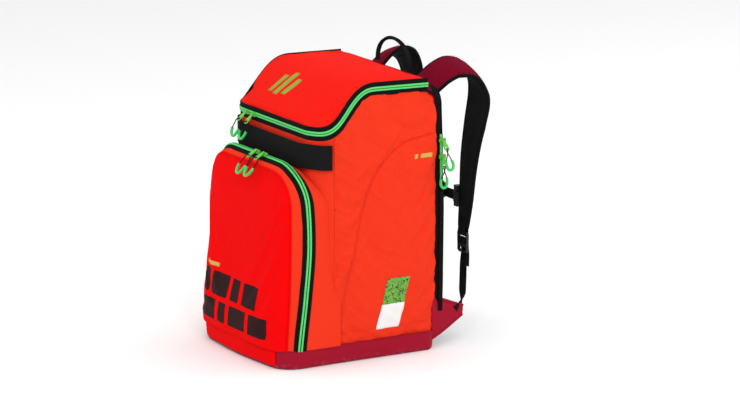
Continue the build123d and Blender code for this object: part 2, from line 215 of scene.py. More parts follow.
def swell(thing, pins, pressure, slack, cap, gravity=0.0):
    """Simulates a sewn piece that swells between its pinned seams; no point moves more than cap."""
    start = positions(thing.data)
    cloth = add_cloth(thing, pins, pressure, slack, gravity)
    for number in range(1, SIM_FRAMES + 1):
        bpy.context.scene.frame_set(number)
    graph = bpy.context.evaluated_depsgraph_get()
    move = positions(thing.evaluated_get(graph).data) - start
    length = np.linalg.norm(move, axis=1, keepdims=True) + 1e-9
    limit = cap * MM
    kept = start + move * (limit * np.tanh(length / limit) / length)
    thing.modifiers.remove(cloth)
    thing.vertex_groups.clear()
    thing.data.vertices.foreach_set("co", kept.ravel())
    thing.data.update()
    bpy.context.scene.frame_set(1)


def edge_pins(rows, cols, wrap=False):
    """Numbers of the grid points on the border of a panel."""
    index = np.arange(rows * cols).reshape(rows, cols)
    pins = [index[0], index[-1]]
    if not wrap:
        pins += [index[:, 0], index[:, -1]]
    return set(np.concatenate(pins).tolist())


def creases(p, n, height, long, short, lean, seed=0.0):
    """Long soft folds that lean by an angle in the YZ plane; millimetres."""
    out = p.copy().reshape(-1, 3)
    normal = n.reshape(-1, 3)
    c, s = math.cos(lean), math.sin(lean)
    for i, q in enumerate(p.reshape(-1, 3)):
        a, b = q[1] * c + q[2] * s, q[2] * c - q[1] * s
        value = noise.noise(Vector((a / long, b / short, q[0] / 90 + seed)))
        out[i] += normal[i] * max(value, -0.15) * height
    return out.reshape(p.shape)


def grid_faces(rows, cols, wrap, flip):
    """Quads of a grid; with wrap, the last column joins the first."""
    faces = []
    for i in range(rows - 1):
        for j in range(cols if wrap else cols - 1):
            k = (j + 1) % cols
            face = (i * cols + j, (i + 1) * cols + j, (i + 1) * cols + k, i * cols + k)
            faces.append(face[::-1] if flip else face)
    return faces


def add_lengths(mesh, p):
    """UV map of a grid's mesh: metres across and along the cloth, so that weaves keep their size."""
    rows, cols = p.shape[:2]
    along = np.zeros((rows, cols))
    along[1:] = np.cumsum(np.linalg.norm(np.diff(p, axis=0), axis=2), axis=0)
    across = np.zeros((rows, cols))
    across[:, 1:] = np.cumsum(np.linalg.norm(np.diff(p, axis=1), axis=2), axis=1)
    u = across.mean(axis=0)
    v = along.mean(axis=1)
    index = np.zeros(len(mesh.loops), int)
    mesh.loops.foreach_get("vertex_index", index)
    uv = np.stack([u[index % cols], v[index // cols]], axis=1) * MM
    mesh.uv_layers.new(name="cloth").data.foreach_set("uv", uv.ravel())


def panel(name, p, material, thick=CLOTH_THICK, centre=BAG_MIDDLE, wrap=False, level=1, offset=-1,
          soft=None, pins=()):
    """Cloth panel from a grid of points in millimetres, its outer face where the grid is. soft holds
    the values of swell, and pins the points sewn down besides the border."""
    rows, cols = p.shape[:2]
    flip = np.sum(grid_normals(p) * (p - np.array(centre, float))) < 0
    mesh = bpy.data.meshes.new(name)
    mesh.from_pydata((p * MM).reshape(-1, 3).tolist(), [], grid_faces(rows, cols, wrap, flip))
    add_lengths(mesh, p)
    mesh.materials.append(material)
    thing = link(name, mesh)
    for poly in mesh.polygons:
        poly.use_smooth = True
    if soft:
        swell(thing, edge_pins(rows, cols, wrap) | set(pins), **soft)
    if thick:
        thicken(thing, thick, offset)
    if level:
        refine(thing, level)
    return thing


def thicken(thing, thick, offset=-1):
    """Gives a sheet its thickness, inwards unless offset says otherwise."""
    solid = thing.modifiers.new("thickness", "SOLIDIFY")
    solid.thickness = thick * MM
    solid.offset = offset


def refine(thing, level):
    """Smooth subdivision."""
    fine = thing.modifiers.new("fine", "SUBSURF")
    fine.levels = level
    fine.render_levels = level


def tube(name, path, radius, material, sides=8, close=False, squash=1.0, up=(0, 0, 1)):
    """Round or flattened tube along a path in millimetres; radius is a number or a list."""
    path = np.array(path, float)
    count = len(path)
    tangent = np.gradient(path, axis=0)
    if close:
        tangent = np.roll(path, -1, axis=0) - np.roll(path, 1, axis=0)
    tangent /= np.linalg.norm(tangent, axis=1, keepdims=True)
    radius = np.broadcast_to(np.array(radius, float), (count,))
    ups = np.broadcast_to(np.array(up, float), (count, 3))
    rings = []
    for i in range(count):
        side = np.cross(tangent[i], ups[i])
        side /= max(np.linalg.norm(side), 1e-9)
        top = np.cross(side, tangent[i])
        ring = [path[i] + radius[i] * (math.cos(a) * side + squash * math.sin(a) * top)
                for a in np.linspace(0, 2 * math.pi, sides, endpoint=False)]
        rings.append(ring)
    verts = (np.array(rings) * MM).reshape(-1, 3).tolist()
    faces = []
    for i in range(count if close else count - 1):
        k = (i + 1) % count
        for j in range(sides):
            m = (j + 1) % sides
            faces.append((i * sides + j, i * sides + m, k * sides + m, k * sides + j))
    if not close:
        faces.append(tuple(range(sides))[::-1])
        faces.append(tuple((count - 1) * sides + j for j in range(sides)))
    mesh = bpy.data.meshes.new(name)
    mesh.from_pydata(verts, [], faces)
    mesh.materials.append(material)
    for poly in mesh.polygons:
        poly.use_smooth = True
    thing = link(name, mesh)
    return outward(thing)


def outward(thing):
    """Makes a closed mesh's faces look outwards."""
    bm = bmesh.new()
    bm.from_mesh(thing.data)
    bmesh.ops.recalc_face_normals(bm, faces=bm.faces)
    bm.to_mesh(thing.data)
    bm.free()
    return thing


def settle(thing):
    """Applies a piece's modifiers."""
    graph = bpy.context.evaluated_depsgraph_get()
    mesh = bpy.data.meshes.new_from_object(thing.evaluated_get(graph))
    thing.modifiers.clear()
    thing.data = mesh
    return thing


def join(name, things):
    """One piece from several, modifiers applied, materials kept."""
    for thing in things:
        settle(thing)
    for other in bpy.context.view_layer.objects:
        other.select_set(False)
    for thing in things:
        thing.select_set(True)
    bpy.context.view_layer.objects.active = things[0]
    if len(things) > 1:
        bpy.ops.object.join()
    whole = bpy.context.view_layer.objects.active
    whole.name = name
    whole.select_set(False)
    return whole


def place(thing, body, slot, *nodes):
    """Rides the piece on a body and hides the CAD nodes it stands for; slot is not used."""
    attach(thing, body)
    if nodes:
        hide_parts(*nodes)
    return thing


# ================================================================ materials
def new_material(name, colour, roughness, sheen=0.0, coat=0.0, specular=0.4):
    """Material with its node tree and its shader."""
    material = bpy.data.materials.new(name)
    material.use_nodes = True
    tree = material.node_tree
    shader = tree.nodes["Principled BSDF"]
    shader.inputs["Base Color"].default_value = (*colour, 1)
    shader.inputs["Roughness"].default_value = roughness
    shader.inputs["Sheen Weight"].default_value = sheen
    shader.inputs["Sheen Roughness"].default_value = 0.4
    shader.inputs["Sheen Tint"].default_value = (*[min(1.0, c + 0.12) for c in colour], 1)
    shader.inputs["Coat Weight"].default_value = coat
    shader.inputs["Specular IOR Level"].default_value = specular
    return material, tree, shader


def node(tree, kind, **inputs):
    """New shader node with values for its inputs."""
    made = tree.nodes.new(kind)
    for key, value in inputs.items():
        made.inputs[key.replace("_", " ")].default_value = value
    return made


def maths(tree, operation, a, b=None, clamp=False):
    """Result of a math node; a and b are numbers or outputs."""
    made = tree.nodes.new("ShaderNodeMath")
    made.operation = operation
    made.use_clamp = clamp
    for socket, value in zip(made.inputs, (a, b)):
        if value is None:
            continue
        if isinstance(value, (int, float)):
            socket.default_value = value
        else:
            tree.links.new(value, socket)
    return made.outputs[0]


def mix_colour(tree, factor, a, b):
    """Mix of two colours; each value is a number, a colour or an output."""
    made = tree.nodes.new("ShaderNodeMix")
    made.data_type = "RGBA"
    for index, value in ((0, factor), (6, a), (7, b)):
        if isinstance(value, (int, float)):
            made.inputs[index].default_value = value
        elif isinstance(value, (tuple, list)):
            made.inputs[index].default_value = (*value[:3], 1)
        else:
            tree.links.new(value, made.inputs[index])
    return made.outputs[2]


def coordinates(tree, uv):
    """Lengths along the cloth, or places on the whole object."""
    made = tree.nodes.new("ShaderNodeTexCoord")
    return made.outputs["UV" if uv else "Object"]


def weave_height(tree, vector, pitch):
    """Plain weave: raised warp and weft that take turns, as a height from 0 to 1."""
    split = tree.nodes.new("ShaderNodeSeparateXYZ")
    tree.links.new(vector, split.inputs[0])
    u = maths(tree, "MULTIPLY", split.outputs[0], math.pi / pitch)
    v = maths(tree, "MULTIPLY", split.outputs[1], math.pi / pitch)
    warp = maths(tree, "ABSOLUTE", maths(tree, "SINE", u))
    weft = maths(tree, "ABSOLUTE", maths(tree, "SINE", v))
    turn = maths(tree, "MULTIPLY", maths(tree, "SINE", u), maths(tree, "SINE", v))
    over = maths(tree, "GREATER_THAN", turn, 0.0)
    under = maths(tree, "SUBTRACT", 1.0, over)
    return maths(tree, "ADD", maths(tree, "MULTIPLY", warp, over), maths(tree, "MULTIPLY", weft, under))


def add_bump(tree, shader, height, strength, distance, normal=None):
    """Bumps the surface by a height, on top of an earlier bump if one is given."""
    bump = node(tree, "ShaderNodeBump", Strength=strength, Distance=distance)
    tree.links.new(height, bump.inputs["Height"])
    if normal:
        tree.links.new(normal, bump.inputs["Normal"])
    tree.links.new(bump.outputs[0], shader.inputs["Normal"])
    return bump.outputs[0]


def cloth_material(name, colour, pitch=0.0012, roughness=0.88, sheen=0.02, vary=0.08, bump=0.5,
                   specular=0.05):
    """Woven cloth: weave bump with painted shade in the hollows between threads, soft creases, uneven dye and
    lint-like speckle.
    """
    material, tree, shader = new_material(name, colour, roughness, sheen=sheen, specular=specular)
    vector = coordinates(tree, True)
    space = coordinates(tree, False)
    broad = node(tree, "ShaderNodeTexNoise", Scale=14.0, Detail=4.0, Roughness=0.6)
    tree.links.new(space, broad.inputs["Vector"])
    fine = node(tree, "ShaderNodeTexNoise", Scale=900.0, Detail=2.0)
    tree.links.new(space, fine.inputs["Vector"])
    light = tuple(min(1.0, c * (1 + vary) + 0.01 * vary) for c in colour)
    dark = tuple(c * (1 - vary) for c in colour)
    tone = mix_colour(tree, broad.outputs["Fac"], dark, light)
    height = weave_height(tree, vector, pitch)
    # Colour in the weave's hollows, at 0.8 of the cloth's: painted shade.
    shade_and_roughness = tuple(c * 0.80 for c in colour)
    shaded = mix_colour(tree, maths(tree, "MULTIPLY", height, 0.35), shade_and_roughness, tone)
    speck = mix_colour(tree, maths(tree, "MULTIPLY", fine.outputs["Fac"], 0.25), shaded, tone)
    tree.links.new(speck, shader.inputs["Base Color"])
    crease = node(tree, "ShaderNodeTexNoise", Scale=38.0, Detail=3.0, Distortion=0.8)
    tree.links.new(space, crease.inputs["Vector"])
    first = add_bump(tree, shader, crease.outputs["Fac"], 0.18, 0.004)
    add_bump(tree, shader, height, bump, 0.0004, first)
    return material


def mesh_material(name, colour):
    """Spacer mesh: a field of small round holes, painted darker inside as shade."""
    material, tree, shader = new_material(name, colour, 0.9, sheen=0.05, specular=0.1)
    vector = coordinates(tree, True)
    cells = node(tree, "ShaderNodeTexVoronoi", Scale=1.0 / 0.0032, Randomness=0.12)
    tree.links.new(vector, cells.inputs["Vector"])
    ramp = tree.nodes.new("ShaderNodeMapRange")
    ramp.inputs["From Min"].default_value = 0.18
    ramp.inputs["From Max"].default_value = 0.42
    tree.links.new(cells.outputs["Distance"], ramp.inputs["Value"])
    # Colour inside the holes, at a quarter of the mesh's: painted shade.
    ground = tuple(c * 0.25 for c in colour)
    tone = mix_colour(tree, ramp.outputs[0], ground, colour)
    tree.links.new(tone, shader.inputs["Base Color"])
    add_bump(tree, shader, ramp.outputs[0], 0.6, 0.0008)
    return material


def webbing_material(name, colour, pitch=0.0016):
    """Webbing: fine ribs across and a herringbone lengthwise, with a painted highlight on the rib crests."""
    material, tree, shader = new_material(name, colour, 0.85, specular=0.06)
    vector = coordinates(tree, True)
    split = tree.nodes.new("ShaderNodeSeparateXYZ")
    tree.links.new(vector, split.inputs[0])
    zig = maths(tree, "PINGPONG", split.outputs[1], pitch * 2.5)
    slant = maths(tree, "ADD", split.outputs[0], zig)
    rib = maths(tree, "ABSOLUTE", maths(tree, "SINE", maths(tree, "MULTIPLY", slant, math.pi / pitch)))
    # Paler colour on the rib crests: painted highlight.
    lift = tuple(min(1, c * 1.8 + 0.002) for c in colour)
    tone = mix_colour(tree, maths(tree, "MULTIPLY", rib, 0.6), colour, lift)
    tree.links.new(tone, shader.inputs["Base Color"])
    add_bump(tree, shader, rib, 0.5, 0.0005)
    return material


def moulded_material(name, colour, roughness, coat=0.0):
    """Moulded plastic: fine spark-erosion texture and slightly uneven gloss."""
    material, tree, shader = new_material(name, colour, roughness, coat=coat)
    space = coordinates(tree, False)
    grain = node(tree, "ShaderNodeTexNoise", Scale=1680.0, Detail=3.0)
    tree.links.new(space, grain.inputs["Vector"])
    broad = node(tree, "ShaderNodeTexNoise", Scale=60.0, Detail=2.0)
    tree.links.new(space, broad.inputs["Vector"])
    uneven = maths(tree, "MULTIPLY", broad.outputs["Fac"], 0.18)
    shade_and_roughness = maths(tree, "ADD", uneven, roughness - 0.09, clamp=True)
    tree.links.new(shade_and_roughness, shader.inputs["Roughness"])
    dark = tuple(c * 0.85 for c in colour)
    light = tuple(min(1, c * 1.12) for c in colour)
    tone = mix_colour(tree, broad.outputs["Fac"], dark, light)
    tree.links.new(tone, shader.inputs["Base Color"])
    add_bump(tree, shader, grain.outputs["Fac"], 0.12, 0.0002)
    return material


# The first two colours below are one coral-red fabric. The front one holds painted shade: a deeper, darker
# red where the face is turned from the light. The side one holds painted light: a paler orange-red where the
# face is lit.
SHADED_FRONT_RED = (0.96, 0.0012, 0.0020)
LIT_SIDE_RED = (0.93, 0.043, 0.015)
MAROON = (0.37, 0.0012, 0.022)
BLACK = (0.006, 0.006, 0.006)
GREEN = (0.020, 0.50, 0.075)
GREEN_HIGHLIGHT = (0.15, 0.80, 0.22)


def coated_material():
    """Coated cloth of the base: its lower edge is paler in noisy patches where it meets the ground."""
    material = cloth_material("base_coating", MAROON, pitch=0.0018, roughness=0.5, sheen=0.0, vary=0.14,
                              bump=0.25, specular=0.12)
    tree = material.node_tree
    shader = tree.nodes["Principled BSDF"]
    space = coordinates(tree, False)
    split = tree.nodes.new("ShaderNodeSeparateXYZ")
    tree.links.new(space, split.inputs[0])
    near = tree.nodes.new("ShaderNodeMapRange")
    near.inputs["From Min"].default_value = 0.013
    near.inputs["From Max"].default_value = 0.001
    tree.links.new(split.outputs[2], near.inputs["Value"])
    patch_noise = node(tree, "ShaderNodeTexNoise", Scale=130.0, Detail=6.0, Roughness=0.7)
    tree.links.new(space, patch_noise.inputs["Vector"])
    spots = maths(tree, "GREATER_THAN", patch_noise.outputs["Fac"], 0.56)
    pale_patches = maths(tree, "MULTIPLY", maths(tree, "MULTIPLY", near.outputs[0], spots), 0.55, clamp=True)
    under = shader.inputs["Base Color"].links[0].from_socket
    tree.links.new(mix_colour(tree, pale_patches, under, (0.36, 0.10, 0.13)), shader.inputs["Base Color"])
    return material


# Lit and shaded copies of the one coral-red fabric: the front copy with painted shade, the side copy with
# painted light, and the lid copy a tone between them for the light falling on the dome.
FRONT_SHADED_CLOTH = cloth_material("front_cloth", SHADED_FRONT_RED)
SIDE_LIT_CLOTH = cloth_material("side_cloth", LIT_SIDE_RED)
LID_HALF_LIT_CLOTH = cloth_material("lid_cloth", (0.95, 0.013, 0.006))
BASE_CLOTH = coated_material()
STRAP_CLOTH = cloth_material("strap_cloth", (0.19, 0.001, 0.016), vary=0.14)
BINDING = cloth_material("binding", BLACK, pitch=0.001, roughness=0.75, sheen=0.0)
TAPE = cloth_material("zip_tape", (0.007, 0.008, 0.007), pitch=0.0009, roughness=0.75, sheen=0.0)
MESH = mesh_material("spacer_mesh", (0.011, 0.011, 0.011))
WEBBING = webbing_material("webbing", (0.006, 0.006, 0.006))
HARDWARE = moulded_material("black_acetal", (0.010, 0.010, 0.010), 0.38)
PAINT = moulded_material("slider_paint", (0.10, 0.50, 0.035), 0.33, coat=0.2)
GRIP = moulded_material("grip_plastic", (0.02, 0.52, 0.09), 0.32, coat=0.3)
CORD = webbing_material("cord_braid", (0.008, 0.008, 0.008), pitch=0.0009)
RED_THREAD = cloth_material("red_thread", (0.55, 0.006, 0.005), pitch=0.0005)
BLACK_THREAD = cloth_material("black_thread", (0.016, 0.016, 0.016), pitch=0.0005, sheen=0.0)
PRINT_DARK = cloth_material("print_dark", (0.030, 0.010, 0.010), roughness=0.6, sheen=0.0)
PRINT_OLIVE = cloth_material("print_olive", (0.33, 0.42, 0.06), roughness=0.6, sheen=0.0)
PRINT_PALE = cloth_material("print_pale", (0.75, 0.45, 0.10), roughness=0.6, sheen=0.0)


def label_material():
    """Woven patch: plain white foot with painted shade in its weave's hollows, mottled green and black above.
    """
    material, tree, shader = new_material("label_weave", (0.80, 0.81, 0.80), 0.65, specular=0.2)
    vector = coordinates(tree, True)
    split = tree.nodes.new("ShaderNodeSeparateXYZ")
    tree.links.new(vector, split.inputs[0])
    upper = maths(tree, "GREATER_THAN", split.outputs[1], 0.047)
    blotch = node(tree, "ShaderNodeTexNoise", Scale=190.0, Detail=3.0, Distortion=1.6)
    tree.links.new(vector, blotch.inputs["Vector"])
    dark = maths(tree, "GREATER_THAN", blotch.outputs["Fac"], 0.55)
    mottled = mix_colour(tree, dark, (0.16, 0.42, 0.06), (0.02, 0.04, 0.015))
    weave = weave_height(tree, vector, 0.0008)
    # White threads darker in the weave's hollows: painted shade.
    plain = mix_colour(tree, weave, (0.70, 0.71, 0.70), (0.86, 0.87, 0.86))
    tree.links.new(mix_colour(tree, upper, plain, mottled), shader.inputs["Base Color"])
    add_bump(tree, shader, weave, 0.4, 0.0003)
    return material


LABEL = label_material()


def coil_material():
    """Green zip coil: painted highlight on the crests of the teeth, on the side away from the cloth; deeper
    green between the teeth.
    """
    material, tree, shader = new_material("zip_coil", GREEN, 0.42, coat=0.15, specular=0.5)
    split = tree.nodes.new("ShaderNodeSeparateXYZ")
    tree.links.new(coordinates(tree, True), split.inputs[0])
    wave = maths(tree, "SINE", maths(tree, "MULTIPLY", split.outputs[0], 2 * math.pi / 0.0017))
    crest = maths(tree, "ADD", maths(tree, "MULTIPLY", wave, 0.5), 0.5)
    # Paler green where the teeth crest on the coil's outer side: painted highlight.
    crest_highlight = maths(tree, "MULTIPLY", crest, split.outputs[1])
    tree.links.new(mix_colour(tree, crest_highlight, GREEN, GREEN_HIGHLIGHT), shader.inputs["Base Color"])
    add_bump(tree, shader, crest, 0.5, 0.0006)
    return material


COIL = coil_material()


# ================================================================ cords
CORD_DIAMETER = 2.0
LOOP_HALF = 8.0     # half width of a cord loop
EYE_TURN = 5.0      # how far the cord stands off the tab before it turns down
# turn about Z, lean outwards, drop, sideways skew, declared length in metres
CORDS = {
    "lid_left": (0, 20, 34, -5, 0.088),
    "lid_right": (0, 20, 34, -3, 0.088),
    "door_left": (0, 36, 38, -4, 0.095),
    "door_right": (0, 36, 38, -2, 0.095),
    "side_upper": (90, 14, 40, 3, 0.099),
    "side_lower": (90, 3, 40, -2, 0.099),
}


def cord_route(drop, skew):
    """Route of a pull cord about the eye of its tab, in millimetres, as in the CAD."""
    half = LOOP_HALF
    out = EYE_TURN
    return [
        (0, 0, 0),
        (-0.6, -out, 0.3),
        (-3 + 0.3 * skew, -out + 0.4, -0.28 * drop),
        (-half + 0.6 * skew, -2.4, -0.56 * drop),
        (-half + skew, -0.8, -0.80 * drop),
        (-half / 2 + skew, 0, -drop),
        (half / 2 + skew, 0.2, -drop + 0.5),
        (half + skew, 1.0, -0.78 * drop),
        (half - 1 + 0.6 * skew, 2.6, -0.54 * drop),
        (3 + 0.3 * skew, out - 0.4, -0.26 * drop),
        (0.6, out, 0.3),
        (0, 0, 0.01),
    ]


def make_cord(name, turn, lean, drop, skew, length):
    """Cord loop that hangs from the tab's eye through its grip and back to the eye."""
    joint = next(j for j in frame["joints"] if j["name"] == "pull_" + name + "_swing")
    eye = Vector(joint["pos_m"])
    turned = Euler((0, 0, math.radians(turn))).to_matrix() @ Euler((math.radians(-lean), 0, 0)).to_matrix()
    route = [eye + turned @ (Vector(p) * MM) for p in cord_route(drop, skew)]
    data = bpy.data.curves.new("pull_cord_" + name, "CURVE")
    data.dimensions = "3D"
    line = data.splines.new("NURBS")
    line.points.add(len(route) - 1)
    for point, at in zip(line.points, route):
        point.co = (*at, 1)
    line.order_u = 3
    line.use_endpoint_u = True
    line.resolution_u = 8
    data.bevel_depth = CORD_DIAMETER / 2 * MM
    data.bevel_resolution = 3
    data.materials.append(CORD)
    piece = link("pull_cord_" + name, data)
    place(piece, "pull_" + name, "cord", "cord_" + name)


for cord_name, cord_values in CORDS.items():
    make_cord(cord_name, *cord_values)


# ================================================================ body shape
WIDTHS = ((0, 152), (120, 160), (255, 165), (400, 162.5), (508, 157))   # height, half width
YF, YB = -102.0, 150.0      # front and back wall
RF, RB = 50.0, 16.0         # front and rear corner radius
S_FRONT = 107.0             # half of the front's straight run; S counts along the wall
S_CORNER = RF * math.pi / 2
S_SIDE = YB - RB - (YF + RF)
S_REAR = RB * math.pi / 2
S_TOTAL = S_FRONT + S_CORNER + S_SIDE + S_REAR + 144.0
FRONT_SEAM_S = S_FRONT + 0.82 * S_CORNER
SIDE_END = S_FRONT + S_CORNER + S_SIDE + 0.8 * S_REAR
SHOULDER = 36.0             # radius of a side panel's top rear corner
BASE_TOP = 34.0
ZIP_BAND = 11.0             # tape on either side of a zip
HINGE_Y = 131.0


def half_width(z):
    """Half width of the body at a height, a smooth curve through WIDTHS."""
    z = np.asarray(z, float)
    fit = np.polyfit([p[0] for p in WIDTHS], [p[1] for p in WIDTHS], 3)
    return np.polyval(fit, z)


def plan(s, z):
    """Point and outward normal on the body wall; s runs from the middle of the front
    round either side to the middle of the back."""
    s, z = np.broadcast_arrays(np.asarray(s, float), np.asarray(z, float))
    a, sign = np.abs(s), np.where(s < 0, -1.0, 1.0)
    w = half_width(z)
    x = np.zeros_like(a)
    y = np.zeros_like(a)
    nx = np.zeros_like(a)
    ny = np.zeros_like(a)
    zones = np.cumsum([S_FRONT, S_CORNER, S_SIDE, S_REAR])
    m = a <= zones[0]
    x[m], y[m], ny[m] = (a / S_FRONT * (w - RF))[m], YF, -1
    m = (a > zones[0]) & (a <= zones[1])
    turn = (a - zones[0]) / S_CORNER * math.pi / 2
    x[m], y[m] = (w - RF + RF * np.sin(turn))[m], (YF + RF - RF * np.cos(turn))[m]
    nx[m], ny[m] = np.sin(turn)[m], -np.cos(turn)[m]
    m = (a > zones[1]) & (a <= zones[2])
    x[m], y[m], nx[m] = w[m], (YF + RF + a - zones[1])[m], 1
    m = (a > zones[2]) & (a <= zones[3])
    turn = (a - zones[2]) / S_REAR * math.pi / 2
    x[m], y[m] = (w - RB + RB * np.cos(turn))[m], (YB - RB + RB * np.sin(turn))[m]
    nx[m], ny[m] = np.cos(turn)[m], np.sin(turn)[m]
    m = a > zones[3]
    left = (S_TOTAL - a) / (S_TOTAL - zones[3])
    x[m], y[m], ny[m] = (left * (w - RB))[m], YB, 1
    point = np.stack([x * sign, y, z], axis=-1)
    normal = np.stack([nx * sign, ny, np.zeros_like(nx)], axis=-1)
    return point, normal


def bezier(p0, p1, p2, p3, count):
    """Points on a cubic Bezier curve."""
    t = np.linspace(0, 1, count)[:, None]
    p0, p1, p2, p3 = (np.array(p, float) for p in (p0, p1, p2, p3))
    return (1 - t) ** 3 * p0 + 3 * (1 - t) ** 2 * t * p1 + 3 * (1 - t) * t ** 2 * p2 + t ** 3 * p3


ZIP_SIDE = np.vstack([
    [(-102.0, 428.0)],
    bezier((-90, 428), (-48, 428), (-33, 502), (14, 502), 60),
    [(60.0, 500.9), (HINGE_Y + 3, 499.0)],
])


def lid_zip_path(count=420):
    """Zip line round the bag from the left hinge end to the right one, with the wall's
    outward normal and the direction square to the zip in the wall."""
    y_end = HINGE_Y - 2
    end = S_FRONT + S_CORNER + (y_end - (YF + RF))
    s = np.linspace(-end, end, count)
    flat = plan(s, 450)[0]
    z = np.interp(flat[:, 1], ZIP_SIDE[:, 0], ZIP_SIDE[:, 1])
    kernel = np.ones(9) / 9
    z = np.convolve(np.pad(z, 4, mode="edge"), kernel, mode="valid")
    point, normal = plan(s, z)
    tangent = np.gradient(point, axis=0)
    up = np.cross(normal, tangent)
    up /= np.linalg.norm(up, axis=1, keepdims=True)
    up *= np.sign(up[:, 2:3])
    return s, point, normal, up


ZIP_S, ZIP_P, ZIP_N, ZIP_UP = lid_zip_path()


def seam_height(shift):
    """Height of the line that lies shift above the lid zip, as a function of s."""
    moved = ZIP_P + ZIP_UP * shift
    side = np.where(np.abs(ZIP_S) > S_FRONT + S_CORNER, np.sign(ZIP_S), 0)
    s = np.where(side == 0, ZIP_S, np.sign(ZIP_S) * (S_FRONT + S_CORNER + moved[:, 1] - (YF + RF)))
    order = np.argsort(s)
    s_sorted, z_sorted = s[order], moved[order, 2]
    return lambda at: np.interp(at, s_sorted, z_sorted)


BELOW_ZIP = seam_height(-ZIP_BAND)
ABOVE_ZIP = seam_height(ZIP_BAND)


def side_top(s):
    """Top edge of a side wall: under the zip, then round the rear shoulder."""
    over = np.clip(np.abs(s) - (SIDE_END - SHOULDER), 0, SHOULDER)
    return BELOW_ZIP(s) - SHOULDER + np.sqrt(SHOULDER ** 2 - over ** 2)


SIDE_SEAM = smooth_curve([(150, 409), (110, 404), (74, 395), (40, 371), (12, 335), (-8, 282), (-21, 225),
                          (-35, 170), (-46, 115), (-53, 60), (-56, 20)], 160)


def groove(y, z, line, width, depth):
    """Depth of a sewn seam that follows a line in the YZ plane."""
    distance = np.full(y.shape, 1e9)
    for point in line:
        distance = np.minimum(distance, (y - point[0]) ** 2 + (z - point[1]) ** 2)
    return -depth * np.exp(-distance / width ** 2)


def side_relief(y, z):
    """How far the side wall stands out from its plain shape."""
    rear = np.interp(z, SIDE_SEAM[::-1, 1], SIDE_SEAM[::-1, 0])
    inside = np.clip((y - rear) / 60, 0, 1) * np.clip((134 - y) / 50, 0, 1)
    inside = inside * np.clip((409 - z) / 60, 0, 1) * np.clip((z - 40) / 60, 0, 1)
    puff = 3.2 * np.sqrt(np.clip(inside, 0, 1))
    foot = -1.2 * np.clip((44 - z) / 10, 0, 1)
    return puff + foot + groove(y, z, SIDE_SEAM, 3.2, 1.8)


def wall_grid(s_values, z_top, z_low, rows, relief=None):
    """Grid on the body wall between two heights, each a function of s."""
    s_values = np.asarray(s_values, float)
    top = np.broadcast_to(z_top(s_values), s_values.shape)
    v = np.linspace(0, 1, rows)[:, None]
    z = z_low + (top[None, :] - z_low) * v
    s = np.broadcast_to(s_values[None, :], z.shape)
    point, normal = plan(s, z)
    if relief is not None:
        point = point + normal * relief(point[..., 1], point[..., 2])[..., None]
    return point, normal


def side_wall(sign):
    """Front and rear panel of one side, split along the curved seam."""
    start = FRONT_SEAM_S
    s = np.linspace(start, SIDE_END, 78) * sign
    point, normal = wall_grid(s, side_top, BASE_TOP - 4, 128, side_relief)
    point = ripple(point, normal, 1.6, 60, 3.0 * sign)
    point = ripple(point, normal, 0.7, 22, 9.0)
    point = creases(point, normal, 3.6, 85, 17, 0.9, 2.0)
    return creases(point, normal, 2.4, 60, 13, -0.5, 7.0)


def part_of(whole, name, keep, material):
    """Copy of a settled sheet that has only the faces whose centre passes keep."""
    piece = link(name, whole.data.copy())
    bm = bmesh.new()
    bm.from_mesh(piece.data)
    gone = [f for f in bm.faces if not keep(f.calc_center_median() / MM)]
    bmesh.ops.delete(bm, geom=gone, context="FACES")
    bm.to_mesh(piece.data)
    bm.free()
    piece.data.materials.clear()
    piece.data.materials.append(material)
    thicken(piece, CLOTH_THICK)
    return piece


def behind_seam(c):
    """Whether a point of a side wall belongs to its rear panel."""
    return c[2] < 409 and c[1] > np.interp(c[2], SIDE_SEAM[::-1, 1], SIDE_SEAM[::-1, 0])


def near_line(grid, line, reach):
    """Numbers of the grid points within reach of a line in the YZ plane."""
    flat = grid.reshape(-1, 3)[:, 1:]
    distance = np.min(np.linalg.norm(flat[:, None, :] - line[None, :, :], axis=2), axis=1)
    return np.nonzero(distance < reach)[0].tolist()


SURFACES = {}


def build_sides():
    """Two panels on each side, cut from one wall along the curved seam."""
    for side, sign in (("right", 1), ("left", -1)):
        grid = side_wall(sign)
        soft = {"pressure": 3.0, "slack": 0.03, "cap": 4.5, "gravity": 0.15}
        whole = panel("side_wall", grid, SIDE_LIT_CLOTH, thick=0, soft=soft,
                      pins=near_line(grid, SIDE_SEAM, 3.0) + list(range(3 * grid.shape[1])))
        settle(whole)
        SURFACES["side_" + side] = whole
        rear = part_of(whole, "side_rear_" + side, behind_seam, SIDE_LIT_CLOTH)
        place(settle(rear), "bag", "side_fabric", "side_rear_panel_" + side)
        front = part_of(whole, "side_front_" + side, lambda c: not behind_seam(c), SIDE_LIT_CLOTH)
        place(settle(front), "bag", "side_fabric", "side_front_panel_" + side)


def build_front_wall():
    """Front of the body, drawn in a little behind the grab band."""
    s = np.linspace(-FRONT_SEAM_S, FRONT_SEAM_S, 90)
    point, normal = wall_grid(s, BELOW_ZIP, BASE_TOP - 3, 80)
    sag = 1.0 - (point[..., 2] - 330) / 100
    bow = np.clip(1 - (point[..., 0] / 120) ** 2, 0, 1)
    bow = bow * np.clip(1 - np.abs(point[..., 2] - 390) / 45, 0, 1)
    point = point + normal * (-1.2 * bow * np.clip(sag, 0, 1))[..., None]
    point = ripple(point, normal, 1.2, 55, 1.0)
    # The front panel takes the side's lit orange-red copy of the cloth: painted light.
    place(panel("front_wall", point, SIDE_LIT_CLOTH), "bag", "side_fabric", "front_panel")


